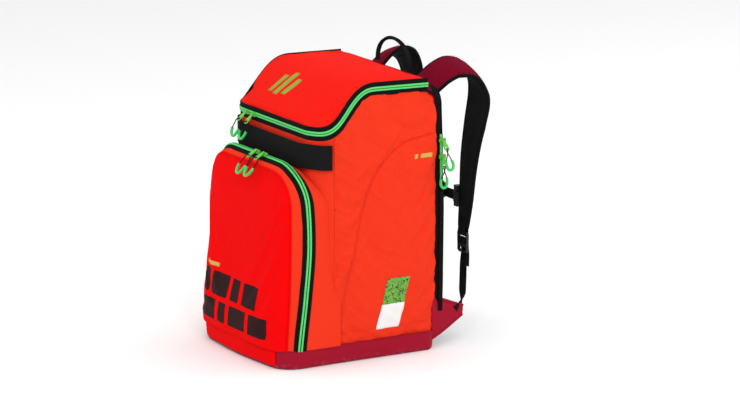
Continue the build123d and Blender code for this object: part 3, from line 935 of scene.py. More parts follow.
def build_back_wall():
    """Rear wall and its rounded corners, behind the padding."""
    half = np.linspace(SIDE_END, S_TOTAL, 30)
    s = np.concatenate([half, -half[::-1][1:]])
    point, normal = wall_grid(s, lambda a: np.full(a.shape, 470.0), BASE_TOP - 3, 60)
    point = ripple(point, normal, 0.8, 50, 5.0)
    place(panel("back_wall", point, BINDING), "bag", "side_fabric", "back_panel")


def crown_z(x):
    """Height of the lid's rear seam across the bag."""
    return 505 + 20 * (1 - np.clip(np.abs(x) / 157, 0, 1) ** 2)


def build_yoke():
    """Yoke over the top rear edge, from the back wall up to the lid's hinge."""
    start = S_FRONT + S_CORNER + S_SIDE - 4
    half = np.concatenate([np.linspace(start, SIDE_END, 16)[:-1], np.linspace(SIDE_END, S_TOTAL, 30)])
    s = np.concatenate([half, -half[::-1][1:]])
    foot = np.where(np.abs(s) <= SIDE_END, side_top(s) - 5, 448.0)
    low, n = plan(s, foot)
    corner = np.clip(1 - np.abs(np.abs(s) - SIDE_END) / 34, 0, 1)[:, None]
    mid = plan(s, np.full(s.shape, 494.0))[0] - n * (2.5 + 7.0 * corner) + [0, 0, -5.0] * corner
    x = np.clip(mid[:, 0], -154.0, 154.0)
    hinge = np.stack([x, np.full(x.shape, HINGE_Y + 0.8), np.minimum(508.6, crown_z(x) - 0.6)], axis=1)
    rows = [low + n * 0.9]
    for share in (0.35, 0.7, 0.9):
        rows.append(low + (mid - low) * share + n * (1.2 + 1.6 * math.sin(math.pi * share)))
    for share, lift in ((0.0, 0.6), (0.15, 4.0), (0.4, 3.2), (0.7, 1.4), (1.0, 0.0)):
        row = mid + (hinge - mid) * share
        row[:, 2] += lift
        rows.append(row)
    yoke = panel("yoke_cloth", np.array(rows), STRAP_CLOTH, centre=(0, 60, 400))
    place(yoke, "bag", "strap_fabric", "yoke")


# ================================================================ lid
LID_PROFILE = smooth_curve([(-102.5, 439), (-101, 447), (-93, 457), (-75, 472), (-50, 492), (-28, 507.5),
                            (0, 518.5), (35, 523.5), (75, 523), (105, 518), (HINGE_Y - 0.8, 508.4)], 90)


def lid_edge_half(y):
    """Half width of the lid's outline at a given Y."""
    y = np.asarray(y, float)
    w = half_width(np.interp(y, ZIP_SIDE[:, 0], ZIP_SIDE[:, 1]) + ZIP_BAND)
    inside = np.clip((YF + RF - y) / RF, 0, 1)
    return w - RF + RF * np.sqrt(np.clip(1 - inside ** 2, 0, 1))


def lid_s(y):
    """Perimeter position of the lid's edge at a given Y, on the right."""
    y = np.asarray(y, float)
    turn = np.arccos(np.clip((YF + RF - y) / RF, -1, 1))
    corner = S_FRONT + S_CORNER * turn / (math.pi / 2)
    side = S_FRONT + S_CORNER + (y - (YF + RF))
    return np.where(y < YF + RF, corner, side)


def lid_grid():
    """Domed top: rises from the zip's edge band to the crown."""
    y = np.maximum(LID_PROFILE[:, 0], YF - 0.4)
    middle = LID_PROFILE[:, 1]
    edge = ABOVE_ZIP(lid_s(np.maximum(y, YF)))
    edge = np.minimum(edge, middle)
    half = np.maximum(lid_edge_half(np.maximum(y, YF)), S_FRONT - 1)
    u = np.sin(np.linspace(-math.pi / 2, math.pi / 2, 81))
    x = half[:, None] * u[None, :]
    rise = (middle - edge)[:, None] * (1 - np.abs(u[None, :]) ** 3.2) ** 0.85
    z = edge[:, None] + rise
    yy = np.broadcast_to(y[:, None], x.shape)
    return np.stack([x, yy, z], axis=-1)


def lid_pleats(grid):
    """Small folds gathered along the front zip, fading up the lid."""
    out = grid.copy()
    away = np.maximum(grid[..., 2] - ABOVE_ZIP(lid_s(np.maximum(grid[..., 1], YF))), 0)
    near = np.exp(-(away / 26) ** 2) * np.clip(away / 7, 0, 1) * np.clip((-30 - grid[..., 1]) / 50, 0, 1)
    wave = np.sin(grid[..., 0] / 8.5 + 1.7 * np.sin(grid[..., 0] / 27)) * np.sin(grid[..., 0] / 41 + 0.6)
    out[..., 1] -= 1.9 * near * wave
    out[..., 2] += 1.1 * near * wave
    return out


def across_hinge(thing, node_name):
    """Bakes a finished piece of the lid where it stands and hides its CAD node; its rear seam is sewn to the
    yoke.
    """
    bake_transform(thing)
    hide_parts(node_name)


def build_lid():
    """Lid cloth, sewn down along its front and side edges."""
    inside = (0, 0, 400)
    grid = lid_grid()
    grid = ripple(grid, facing(grid, inside), 2.0, 75, 11.0)
    grid = ripple(grid, facing(grid, inside), 0.8, 26, 4.0)
    grid = lid_pleats(grid)
    rows, cols = grid.shape[:2]
    index = np.arange(rows * cols).reshape(rows, cols)
    sewn = np.concatenate([index[:5].ravel(), index[:, :4].ravel(), index[:, -4:].ravel()]).tolist()
    soft = {"pressure": 2.0, "slack": 0.025, "cap": 4.0, "gravity": 0.2}
    top = panel("lid_cloth_panel", grid, LID_HALF_LIT_CLOTH, centre=(0, 20, 400), soft=soft, pins=sewn)
    SURFACES["lid"] = settle(top)
    across_hinge(top, "lid_panel")


# ================================================================ zips
def coil_piece(name, path, across, normal, side, lift, scale=1.0):
    """Half of a zip coil: a small ribbed tube beside the line where the halves meet."""
    count = int(np.sum(np.linalg.norm(np.diff(path, axis=0), axis=1)) / 1.1)
    line = even(path + across * side * 2.3 + normal * lift, count)
    ups = even_along(normal, path, count)
    ribs = 1.95 + 0.22 * np.where(np.arange(count) % 2, 1.0, -1.0)
    piece = tube(name, line, ribs * scale, COIL, sides=8, squash=0.62, up=ups)
    layer = piece.data.uv_layers.new(name="cloth")
    step = np.concatenate([[0], np.cumsum(np.linalg.norm(np.diff(line, axis=0), axis=1))]) * MM
    # Around the tube, highest on its outer side: mask for the coil's painted highlight.
    crest = [0.25, 0.8, 1.0, 0.8, 0.25, 0.0, 0.0, 0.0]
    for loop in piece.data.loops:
        i = loop.vertex_index
        layer.data[loop.index].uv = (step[i // 8], crest[i % 8])
    return piece


def tape_piece(name, path, across, normal, side, width, lift):
    """Half of a zip tape, flat on the cloth, with a rounded outer edge."""
    rows = []
    for share, drop in ((0.02, 0.5), (0.3, 0.0), (0.7, 0.0), (0.93, 0.1), (1.0, 0.9)):
        rows.append(path + across * side * width * share + normal * (lift - drop))
    return panel(name, np.array(rows), TAPE, thick=1.0, centre=(0, 0, 250), level=0)


def zip_half(name, path, across, normal, side, width, lift=1.3):
    """Tape and coil on one side of a zip line."""
    tape = tape_piece(name + "_tape", path, across, normal, side, width, lift)
    coil = coil_piece(name + "_coil", path, across, normal, side, lift + 0.5)
    return join(name, [tape, coil])


def build_lid_zip():
    """Zip round the top: one half on the lid, the other on the body."""
    upper = zip_half("lid_zip_top", ZIP_P, ZIP_UP, ZIP_N, 1, 12.6, lift=2.0)
    across_hinge(upper, "lid_zip_upper")
    lower = zip_half("lid_zip_bottom", ZIP_P, ZIP_UP, ZIP_N, -1, 13.0)
    place(lower, "bag", "zip_tape", "lid_zip_lower")


# ================================================================ front pocket
DOOR_LOW = BASE_TOP + 0.6
SEAM_TOP, SEAM_RADIUS = 357, 60
# Y of the zip, the door's seam and the middle of its face, each by height
ZIP_LINE_Y = smooth_curve([(-10, -139), (40, -137), (134, -125), (225, -117), (315, -121), (376, -135),
                           (420, -144)], 200)
SEAM_Y = smooth_curve([(20, -160), (60, -157), (134, -152), (225, -149), (315, -149), (372, -153)], 120)
FACE_Y = smooth_curve([(20, -184), (60, -188), (110, -187), (170, -180), (230, -174), (290, -170),
                       (330, -164), (362, -156)], 160)


def arch(half, top, radius, count, low=DOOR_LOW, taper=3.0):
    """Inverted U in the XZ plane, from the left foot over the top to the right foot."""
    points = [(-half - taper, low), (-half, top), (half, top), (half + taper, low)]
    return even(rounded_path(points, [0, radius, radius, 0]), count)


def along(table, z):
    """Y read from a table of heights."""
    return np.interp(z, table[:, 0], table[:, 1])


ARCH_COUNT = 230
ARCH_ZIP = arch(157, 371.5, 72, ARCH_COUNT)
ARCH_BODY = arch(158, 353, 62, ARCH_COUNT)


def body_front_y(x, z):
    """Y of the body's front wall and its round corners."""
    w = half_width(z)
    over = np.clip(np.abs(x) - (w - RF), 0, RF)
    return YF + RF - np.sqrt(RF ** 2 - over ** 2)


def arch_points(curve, y):
    """An arch in space from its front view and the Y of each point."""
    return np.stack([curve[:, 0], y, curve[:, 1]], axis=1)


def towards(a, b):
    """Unit vectors from the points of one path to those of another."""
    way = b - a
    return way / np.linalg.norm(way, axis=1, keepdims=True)


def arch_normal(path, across):
    """Outward normals of the strip that leaves an arch in the direction across."""
    tangent = np.gradient(path, axis=0)
    n = np.cross(tangent, across)
    n /= np.linalg.norm(n, axis=1, keepdims=True)
    middle = path.mean(axis=0)
    return n * np.sign(np.sum(n * (path - middle), axis=1))[:, None]


def strip_between(a, b, start, rows, bulge, normal):
    """Grid from a towards b that begins start millimetres from a, crowned outwards."""
    way = b - a
    length = np.linalg.norm(way, axis=1, keepdims=True)
    first = start / length
    out = []
    for t in np.linspace(0, 1, rows):
        share = first + (1 - first) * t
        out.append(a + way * share + normal * bulge * math.sin(math.pi * t))
    return np.array(out)


def seam_half(z):
    """Half width of the door's front inside its seam, at a given height."""
    side = 147 + 3 * (SEAM_TOP - z) / (SEAM_TOP - DOOR_LOW)
    over = np.clip(z - (SEAM_TOP - SEAM_RADIUS), 0, SEAM_RADIUS)
    return side - SEAM_RADIUS + np.sqrt(SEAM_RADIUS ** 2 - over ** 2)


def face_grid():
    """Crowned front of the door, from its foot to the top of the seam."""
    z = SEAM_TOP - (SEAM_TOP - DOOR_LOW) * (1 - np.sin(np.linspace(0, math.pi / 2, 92))) ** 0.9
    u = np.linspace(-1, 1, 86)
    half = seam_half(z)
    x = half[:, None] * u[None, :]
    zz = np.broadcast_to(z[:, None], x.shape)
    low = along(SEAM_Y, zz)
    high = along(FACE_Y, zz)
    from_side = (1 - np.abs(u[None, :])) * half[:, None]
    reach = np.minimum(from_side, SEAM_TOP - zz)
    edge = np.clip(reach / 58, 0, 1)
    shape = np.sqrt(1 - (1 - edge) ** 2.2)
    y = low + (high - low) * shape
    return np.stack([x, y, zz], axis=-1)


FACE_GRID = face_grid()
FACE_GRID = ripple(FACE_GRID, facing(FACE_GRID, (0, 0, 190)), 2.0, 85, 21.0)
FACE_GRID = ripple(FACE_GRID, facing(FACE_GRID, (0, 0, 190)), 0.7, 26, 6.0)


DOOR_ZIP_P = arch_points(ARCH_ZIP, along(ZIP_LINE_Y, ARCH_ZIP[:, 1]))
BODY_P = arch_points(ARCH_BODY, body_front_y(ARCH_BODY[:, 0], ARCH_BODY[:, 1]) - 0.5)
SEAM_P = even(np.vstack([FACE_GRID[:, 0], FACE_GRID[-1, 1:-1], FACE_GRID[::-1, -1]]), ARCH_COUNT)
DOOR_ACROSS = towards(DOOR_ZIP_P, SEAM_P)
REAR_ACROSS = towards(DOOR_ZIP_P, BODY_P)
FRONT_N = arch_normal(DOOR_ZIP_P, DOOR_ACROSS)
REAR_N = arch_normal(DOOR_ZIP_P, REAR_ACROSS)


def build_door():
    """Door: pillowed face, gusset back to the zip, and piping on the seam between them."""
    soft = {"pressure": 3.0, "slack": 0.02, "cap": 4.0, "gravity": 0.25}
    face = panel("door_face", FACE_GRID, FRONT_SHADED_CLOTH, centre=(0, 0, 190), soft=soft)
    SURFACES["door"] = settle(link("door_copy", face.data.copy()))
    gusset_grid = strip_between(DOOR_ZIP_P, SEAM_P, 11.0, 10, 1.6, FRONT_N)
    gusset_grid = ripple(gusset_grid, facing(gusset_grid, (0, -90, 190)), 0.9, 30, 2.0)
    gusset_grid[-1] = SEAM_P
    gusset = panel("door_side", gusset_grid, SIDE_LIT_CLOTH, centre=(0, -120, 180))
    seam_n = arch_normal(SEAM_P, np.broadcast_to([0.0, -1.0, 0.0], SEAM_P.shape))
    piping = tube("door_piping", SEAM_P + seam_n * 0.5 + [0, -0.6, 0], 1.5, FRONT_SHADED_CLOTH, sides=8)
    door = join("pocket_door", [face, gusset, piping])
    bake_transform(door)
    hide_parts("door_panel")


def build_pocket():
    """Pocket side on the body, and a zip half on the door and on the pocket."""
    rear = strip_between(DOOR_ZIP_P, BODY_P, 11.0, 9, 1.5, REAR_N)
    rear = ripple(rear, facing(rear, (0, -90, 190)), 0.9, 34, 8.0)
    place(panel("pocket_side", rear, SIDE_LIT_CLOTH, centre=(0, -90, 180)), "bag", "side_fabric", "pocket_gusset")
    front = zip_half("door_zip", DOOR_ZIP_P, DOOR_ACROSS, FRONT_N, 1, 13.0)
    place(front, "door", "zip_tape", "door_zip_front")
    back = zip_half("pocket_zip", DOOR_ZIP_P, REAR_ACROSS, REAR_N, 1, 13.0)
    place(back, "bag", "zip_tape", "pocket_zip_rear")


# ================================================================ base
def build_base():
    """Coated tub: flat bottom, rounded edge, low skirt with a bound rim."""
    outline = rounded_path(
        [(154, 149.5), (155, -60), (158, -173), (0, -185), (-158, -173), (-155, -60), (-154, 149.5)],
        [15, 200, 46, 700, 46, 200, 15], arc_step=5, close=True)
    loop = even(outline, 221)[:-1]
    tangent = np.roll(loop, -1, axis=0) - np.roll(loop, 1, axis=0)
    inward = np.stack([-tangent[:, 1], tangent[:, 0]], axis=1)
    inward /= np.linalg.norm(inward, axis=1, keepdims=True)
    inward *= -np.sign(np.sum(inward * loop, axis=1).mean())
    rows = []
    for share in (0.02, 0.25, 0.5, 0.75, 0.93):
        rows.append(np.column_stack([loop * share, np.full(len(loop), 0.15)]))
    profile = ((5.0, 0.2), (2.0, 1.5), (0.2, 5), (-0.6, 12), (-1.3, 22), (-1.7, 31), (-1.9, 33.5),
               (-1.9, 35.5))
    for inset, z in profile:
        rows.append(np.column_stack([loop + inward * inset, np.full(len(loop), z)]))
    grid = np.array(rows)
    tub = panel("tub", grid, BASE_CLOTH, thick=2.2, centre=(0, 0, 25), wrap=True)
    edge = np.column_stack([loop - inward * 1.4, np.full(len(loop), 35.4)])
    rim = tube("rim", edge, 1.5, BASE_CLOTH, close=True)
    place(join("base_cloth", [tub, rim]), "bag", "base_coating", "base_tub")


# ================================================================ webbing, padding and trim
WEB_WIDTH = 23
STERNUM_Y, STERNUM_Z = 248, 262


def ribbon(name, path, wide, width, material, thick=1.6, count=60):
    """Flat webbing along a path; wide gives the direction of its width along the way."""
    points = smooth_curve(path, count)
    wides = np.array(wide, float)
    if wides.ndim == 1:
        wides = np.broadcast_to(wides, points.shape)
    else:
        at = np.linspace(0, 1, count) * (len(wides) - 1)
        wides = np.stack([np.interp(at, range(len(wides)), wides[:, k]) for k in range(3)], axis=1)
    wides = wides / np.linalg.norm(wides, axis=1, keepdims=True)
    columns = [points + wides * width * t for t in (-0.5, -0.46, -0.2, 0.2, 0.46, 0.5)]
    return panel(name, np.stack(columns, axis=1), material, thick=thick, level=0, offset=0)


def stitches(name, path, normal, material, pitch=3.6, length=2.4, radius=0.32):
    """Row of thread stitches that lie on a surface along a path."""
    path = np.array(path, float)
    total = np.sum(np.linalg.norm(np.diff(path, axis=0), axis=1))
    points = even(path, max(2, int(total / pitch)))
    normals = np.broadcast_to(np.array(normal, float), path.shape)
    normals = even_along(normals, path, len(points))
    way = np.gradient(points, axis=0)
    way /= np.linalg.norm(way, axis=1, keepdims=True)
    verts, faces = [], []
    for p, d, n in zip(points, way, normals):
        side = np.cross(d, n)
        base = len(verts)
        p = p + n * 0.25
        verts += [p - d * length / 2, p + d * length / 2, p + side * radius, p - side * radius,
                  p + n * radius, p - n * radius]
        for a, b in ((2, 4), (4, 3), (3, 5), (5, 2)):
            faces += [(base, base + a, base + b), (base + 1, base + b, base + a)]
    mesh = bpy.data.meshes.new(name)
    mesh.from_pydata((np.array(verts) * MM).tolist(), [], faces)
    mesh.materials.append(material)
    return outward(link(name, mesh))


def drape(surface, points, direction, lift):
    """Points moved along a direction until they lie lift above a finished surface."""
    graph = bpy.context.evaluated_depsgraph_get()
    tree = BVHTree.FromObject(surface, graph)
    direction = Vector(direction).normalized()
    out, normals = [], []
    for q in np.array(points, float).reshape(-1, 3):
        start = Vector(q * MM) - direction * 0.6
        hit, normal = tree.ray_cast(start, direction)[:2]
        if hit is None:
            hit, normal = tree.find_nearest(Vector(q * MM))[:2]
        if normal.dot(direction) > 0:
            normal = -normal
        out.append(np.array(hit) / MM + np.array(normal) * lift)
        normals.append(np.array(normal))
    return np.array(out).reshape(np.shape(points)), np.array(normals).reshape(np.shape(points))


def patch(name, surface, corners, direction, material, rows=14, cols=10, lift=0.35, thick=0.5):
    """Thin patch or print laid on a surface inside four corners."""
    a, b, c, d = (np.array(q, float) for q in corners)
    v = np.linspace(0, 1, rows)[:, None, None]
    u = np.linspace(0, 1, cols)[None, :, None]
    flat = (a * (1 - u) + b * u) * (1 - v) + (d * (1 - u) + c * u) * v
    grid, normals = drape(surface, flat, direction, lift)
    centre = grid.reshape(-1, 3).mean(axis=0) - normals.reshape(-1, 3).mean(axis=0) * 200
    return panel(name, grid, material, thick=thick, level=0, centre=centre)


def build_band():
    """Grab band round the front, sewn down at both ends."""
    corners = [(165.4, 0), (165.4, -88), (112, -112.3), (-112, -112.3), (-165.4, -88), (-165.4, 0)]
    flat = rounded_path(corners, [0, 30, 60, 60, 30, 0])
    flat = flat[flat[:, 1] < -70]
    sag = -1.6 * np.clip(1 - (flat[:, 0] / 150) ** 2, 0, 1)
    path = even(np.column_stack([flat, 386 + sag]), 60)
    band = ribbon("band_webbing", path, (0, 0, 1), 45.5, WEBBING, thick=2.2, count=120)
    pieces = [band]
    for sign in (1, -1):
        for y in (-76.5, -84):
            line = [(sign * 166.6, y, 366), (sign * 166.6, y, 406)]
            pieces.append(stitches("band_stitch", line, (sign, 0, 0), BLACK_THREAD, pitch=2.2, length=1.8))
    place(join("grab_band_webbing", pieces), "bag", "webbing", "grab_band")


def build_handle():
    """Carry handle: a loop of webbing with a rolled grip."""
    t = np.linspace(0, math.pi, 15)
    path = np.column_stack([58 * np.cos(t), np.full(15, 150.0), 506.5 + 49.5 * np.sin(t) ** 0.85])
    loop = ribbon("handle_webbing", path, (0, 1, 0), 8.6, WEBBING, thick=2.4, count=70)
    grip = smooth_curve(path[4:11], 40)
    wrap = tube("handle_grip", grip, 3.4, BINDING, sides=12, squash=0.62, up=(0, 1, 0))
    place(join("carry_handle_webbing", [loop, wrap]), "handle", "webbing", "carry_handle")


# (Y, Z) along a strap, and its height, inner edge and outer edge
STRAP_PATH = ((158, 491), (166, 496), (195, 515), (223, 523), (254, 514), (272, 487), (275, 455),
              (266, 405), (255, 340), (248, 262), (241.5, 209))
STRAP_EDGES = ((600, 62, 126), (480, 62, 132), (400, 66, 132), (300, 74, 122), (200, 84, 116))
STRAP_ROOT = 166
STRAP_HALF_THICK = 6.0
STRAP_COLUMNS = 15          # points across one face of a strap
LOCK_X = 101
SAG_RIGHT, SAG_LEFT = 0.0, 0.25     # how much nearer the bag each strap stands than its path


def strap_roll(z):
    """How far the outer edge of a strap hangs below its inner edge, per millimetre of width."""
    return -0.34 * np.clip((z - 380) / 110, 0, 1)


def strap_path(sag):
    """Middle of a strap in the YZ plane; sag brings its top nearer the bag."""
    out = []
    for y, z in STRAP_PATH:
        share = min(max((z - 262) / 188, 0), 1)
        out.append((0, STRAP_ROOT + (1 - sag * share) * (y - STRAP_ROOT), z))
    return smooth_curve(out, 84)


def strap_frame(sag):
    """Along a strap: its path, the way out of its face, both edges, its taper and its roll."""
    path = strap_path(sag)
    way = np.gradient(path, axis=0)
    way /= np.linalg.norm(way, axis=1, keepdims=True)
    out = np.stack([np.zeros(len(path)), -way[:, 2], way[:, 1]], axis=1)
    z, inner, outer = (np.array(c, float)[::-1] for c in zip(*STRAP_EDGES))
    left = np.interp(path[:, 2], z, inner) + 1
    right = np.interp(path[:, 2], z, outer) - 1
    rise = np.arange(len(path)) < np.argmax(path[:, 2])
    left[rise], right[rise] = 63, 127
    taper = np.clip((len(path) - 1 - np.arange(len(path))) / 8, 0, 1) ** 0.5 * 0.65 + 0.35
    return path, out, left, right, taper, strap_roll(path[:, 2])


def strap_grid(sign, path, out, left, right, taper, roll):
    """Rings round a strap: over its outer face from edge to edge, then back over its inner face."""
    u = np.sin(np.linspace(-math.pi / 2, math.pi / 2, STRAP_COLUMNS))
    height = 0.30 + 0.70 * (1 - np.abs(u) ** 2.8) ** 0.7
    across = np.concatenate([u, u[::-1]])[None, :]
    lift = np.concatenate([height, -height[::-1]])[None, :]
    middle, half = (left + right) / 2, (right - left) / 2
    x = sign * (middle[:, None] + half[:, None] * across)
    y, z = (path[:, None, k] + out[:, None, k] * STRAP_HALF_THICK * lift * taper[:, None] for k in (1, 2))
    return np.stack([x, y, z + (roll * half)[:, None] * (across + 1)], axis=-1)


def strap_shell(sign, grid):
    """Strap body: dyed cloth on its outer face, mesh on its inner face, binding at both edges."""
    rows, cols = grid.shape[:2]
    last = STRAP_COLUMNS - 1
    index = np.arange(rows * cols).reshape(rows, cols)
    rim = index[:, [0, last, last + 1, cols - 1]].ravel().tolist()
    strap = panel("strap", grid, STRAP_CLOTH, thick=0, level=0, wrap=True, centre=(sign * 97, 235, 400),
                  soft={"pressure": 4.0, "slack": 0.015, "cap": 2.5}, pins=rim)
    strap.data.materials.append(MESH)
    strap.data.materials.append(BINDING)
    for poly in strap.data.polygons:
        columns = [v % cols for v in poly.vertices]
        wraps = max(columns) == cols - 1 and min(columns) == 0
        poly.material_index = 2 if wraps or min(columns) == last else int(min(columns) > last)
    close_ends(strap, index)
    outward(strap)
    refine(strap, 1)
    return strap


def strap_trim(sign, toward, edge, path, out, drop, taper):
    """Bound edge of a strap and the row of stitches beside it."""
    line = np.column_stack([sign * edge, path[:, 1], path[:, 2] + drop])
    up = np.column_stack([np.full(len(path), float(sign * toward)), np.zeros((len(path), 2))])
    cord = tube("edge", line, 3.6 * (taper * 0.5 + 0.5), BINDING, sides=10, squash=0.55, up=up)
    inset = line - [sign * toward * 5.5, 0, 0] + out * 5.2
    return [cord, stitches("edge_stitch", inset[4:-4], out[4:-4], BLACK_THREAD)]


def lock_loop(sign, y, z):
    """Webbing loop from the strap's end at (y, z) round the upper bar of the ladder lock."""
    x = sign * LOCK_X
    loop = [(x, y + 3, z + 16), (x, y + 2.8, z - 4), (x, y + 2.2, z - 11), (x, y - 1.4, z - 15.2),
            (x, y - 5.2, z - 11), (x, y - 5.0, z - 3), (x, y - 3.5, z + 14)]
    return ribbon("lock_loop", loop, (1, 0, 0), WEB_WIDTH, WEBBING, thick=1.3, count=40)


def build_strap(side, sign, sag):
    """Padded strap with bound, stitched edges and the loop that holds the ladder lock."""
    path, out, left, right, taper, roll = strap_frame(sag)
    pieces = [strap_shell(sign, strap_grid(sign, path, out, left, right, taper, roll))]
    half = (right - left) / 2
    for edge, toward in ((left, -1), (right, 1)):
        pieces += strap_trim(sign, toward, edge, path, out, roll * half * (toward + 1), taper)
    pieces.append(lock_loop(sign, path[-1, 1], path[-1, 2]))
    whole = join("shoulder_strap_padding_" + side, pieces)
    place(whole, "bag", "strap_fabric", "shoulder_strap_" + side)


def close_ends(thing, index):
    """Caps the first and last ring of a tube-like mesh."""
    bm = bmesh.new()
    bm.from_mesh(thing.data)
    bm.verts.ensure_lookup_table()
    for row in (index[0], index[-1]):
        bm.faces.new([bm.verts[int(i)] for i in row])
    bm.to_mesh(thing.data)
    bm.free()


def build_lower_web(side, sign):
    """Webbing from the wing up through the ladder lock, with a short tail."""
    path = [(150.6, 196, 66), (149, 206, 72), (137, 217, 84), (122, 227, 103), (110, 235, 123),
            (103, 240, 142), (101, 243.2, 158), (101, 243.4, 168), (101, 240.0, 175.4), (101, 236.0, 181),
            (101, 236.2, 187), (101, 240, 191.5), (101, 244.3, 186), (101, 245.2, 174), (101, 246.4, 158),
            (101, 246, 136)]
    path = [(sign * x, y, z) for x, y, z in path]
    turned = ((0.1, -0.62, 0.78), (0.35, -0.5, 0.78), (0.8, -0.25, 0.35))
    wide = [(x, y * sign, z * sign) for x, y, z in turned] + [(1, 0, 0)] * 11
    web = ribbon("adjuster_web_" + side, path, wide, WEB_WIDTH, WEBBING, thick=1.3, count=110)
    settle(web)
    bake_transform(web)
    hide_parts("lower_web_" + side)


def build_wing(side, sign):
    """Side wing: doubled coated cloth with a bound edge, from the base out to the webbing."""
    y = np.linspace(0, 1, 26)[:, None]
    v = np.linspace(0, 1, 18)[None, :]
    low = 19 + (58 - 19) * y ** 1.1
    high = 105 - (105 - 76) * y ** 0.85
    yy = 142.5 + 68 * y + 0 * v
    zz = low + (high - low) * v
    xx = sign * (151.2 + 2.0 * np.sin(math.pi * v) * (1 - y) + 0.8 * np.sin(5 * y + 3 * v))
    grid = np.stack([xx, yy, zz], axis=-1)
    wing = panel("wing", grid, BASE_CLOTH, thick=2.6, centre=(0, 170, 60))
    pieces = [wing]
    for column in (0, -1):
        pieces.append(tube("wing_edge", grid[:, column] - [sign * 1.3, 0, 0], 1.9, BASE_CLOTH, sides=8))
        inset = grid[:, 1 if column == 0 else -2] + [sign * 0.3, 0, 0]
        pieces.append(stitches("wing_stitch", inset, (sign, 0, 0), BLACK_THREAD))
    place(join("side_wing_" + side, pieces), "bag", "base_coating", "wing_" + side)


PAD_OUTLINE = ((149, 42), (152.5, 120), (155, 260), (153, 390), (147, 486))    # half width, height
PAD_FOOT, PAD_TOP = 42, 486
PAD_CORNER = 26
PAD_QUILTS = (150, 262, 374)    # heights of the seams sewn across the padding


def pad_half(z):
    """Half width of the padding at a height, with its round corners."""
    z = np.asarray(z, float)
    half = np.interp(z, [p[1] for p in PAD_OUTLINE], [p[0] for p in PAD_OUTLINE]) - 0.6
    for edge, sign in ((PAD_TOP, 1), (PAD_FOOT, -1)):
        over = np.clip(sign * (z - (edge - sign * PAD_CORNER)), 0, PAD_CORNER)
        half = half - PAD_CORNER + np.sqrt(np.maximum(PAD_CORNER ** 2 - over ** 2, 0))
    return half


def pad_depth(x, z, half):
    """How far the padding stands off the back wall: two long pads and a channel between."""
    side = np.clip((half - np.abs(x)) / 9, 0, 1)
    ends = np.clip(np.minimum(z - PAD_FOOT, PAD_TOP - z) / 9, 0, 1)
    rim = np.sqrt(1 - (1 - np.minimum(side, ends)) ** 2)
    channel = np.clip((np.abs(x) - 12) / 9, 0, 1)
    channel = np.maximum(channel, np.clip((z - 440) / 16, 0, 1))
    channel = np.maximum(channel, np.clip((60 - z) / 12, 0, 1))
    quilt = 0.0
    for level in PAD_QUILTS:
        quilt = quilt + 2.6 * np.exp(-((z - level) / 5.0) ** 2) * np.clip((np.abs(x) - 16) / 10, 0, 1)
    return 1.0 + 14.0 * rim - 7.0 * (1 - channel * channel * (3 - 2 * channel)) * rim - quilt * rim


def pad_face():
    """Swollen mesh face of the padding, held down at its channel and its cross seams."""
    z = PAD_FOOT + (PAD_TOP - PAD_FOOT) * (1 - np.cos(np.linspace(0, math.pi, 118))) / 2
    z = z * 0.35 + np.linspace(PAD_FOOT, PAD_TOP, 118) * 0.65
    half = pad_half(z)
    u = np.sin(np.linspace(-math.pi / 2, math.pi / 2, 75)) * 0.45 + np.linspace(-1, 1, 75) * 0.55
    x = half[:, None] * u[None, :]
    zz = np.broadcast_to(z[:, None], x.shape)
    grid = np.stack([x, YB + pad_depth(x, zz, half[:, None]), zz], axis=-1)
    low = (np.abs(np.abs(x) - 17) < 3) & (zz > 60) & (zz < 440)
    for level in PAD_QUILTS:
        low = low | ((np.abs(zz - level) < 2.6) & (np.abs(x) > 20))
    pins = np.nonzero(low.ravel())[0].tolist()
    soft = {"pressure": 3.0, "slack": 0.02, "cap": 2.0}
    face = panel("pad_face", grid, MESH, thick=2.0, centre=(0, 0, 260), soft=soft, pins=pins)
    return face, half, z


def build_pad():
    """Back padding: its face, the band round its edge and the binding between them."""
    face, half, z = pad_face()
    middle = (PAD_FOOT + PAD_TOP) / 2
    loop = np.vstack([np.column_stack([half, z]), np.column_stack([-half[::-1], z[::-1]])])
    loop = even(np.vstack([loop, loop[:1]]), 300)[:-1]
    rows = []
    for k, y in ((0.99, 148.8), (1.002, 150.5), (1.004, 155), (1.003, 161), (0.995, 163.6), (0.97, 164.2)):
        height = loop[:, 1] + (loop[:, 1] - middle) * (k - 1)
        rows.append(np.column_stack([loop[:, 0] * k, np.full(len(loop), y), height]))
    band = panel("pad_wall", np.array(rows), BINDING, thick=1.6, level=0, wrap=True, centre=(0, 157, middle))
    edge = np.column_stack([loop[:, 0] * 0.992, np.full(len(loop), 163.4),
                            middle + (loop[:, 1] - middle) * 0.996])
    rim = tube("pad_rim", edge, 2.0, BINDING, close=True, up=(0, 1, 0))
    place(join("back_padding", [face, band, rim]), "bag", "mesh", "back_pad")


def build_side_zip():
    """Zip of the sleeve in the right side of the padding, its foot under a flap."""
    z = np.linspace(72, 403, 160)
    x = pad_half(z) * 1.004 + 0.4
    path = np.column_stack([x, np.full(160, 160.0), z])
    normal = np.broadcast_to([1.0, 0.0, 0.0], path.shape)
    across = np.broadcast_to([0.0, 1.0, 0.0], path.shape)
    pieces = []
    for side in (1, -1):
        pieces.append(tape_piece("tape", path, across, normal, side, 4.6, 0.7))
        coil = coil_piece("coil", path[118:], across[118:] * 0.55, normal[118:], side, 1.0, 0.6)
        pieces.append(coil)
    flap = np.column_stack([x[:119] + 2.4, np.full(119, 160.0), z[:119]])
    pieces.append(ribbon("flap", flap, (0, 1, 0), 8.5, BINDING, thick=1.2, count=60))
    place(join("sleeve_zip", pieces), "bag", "zip_tape", "side_zip")


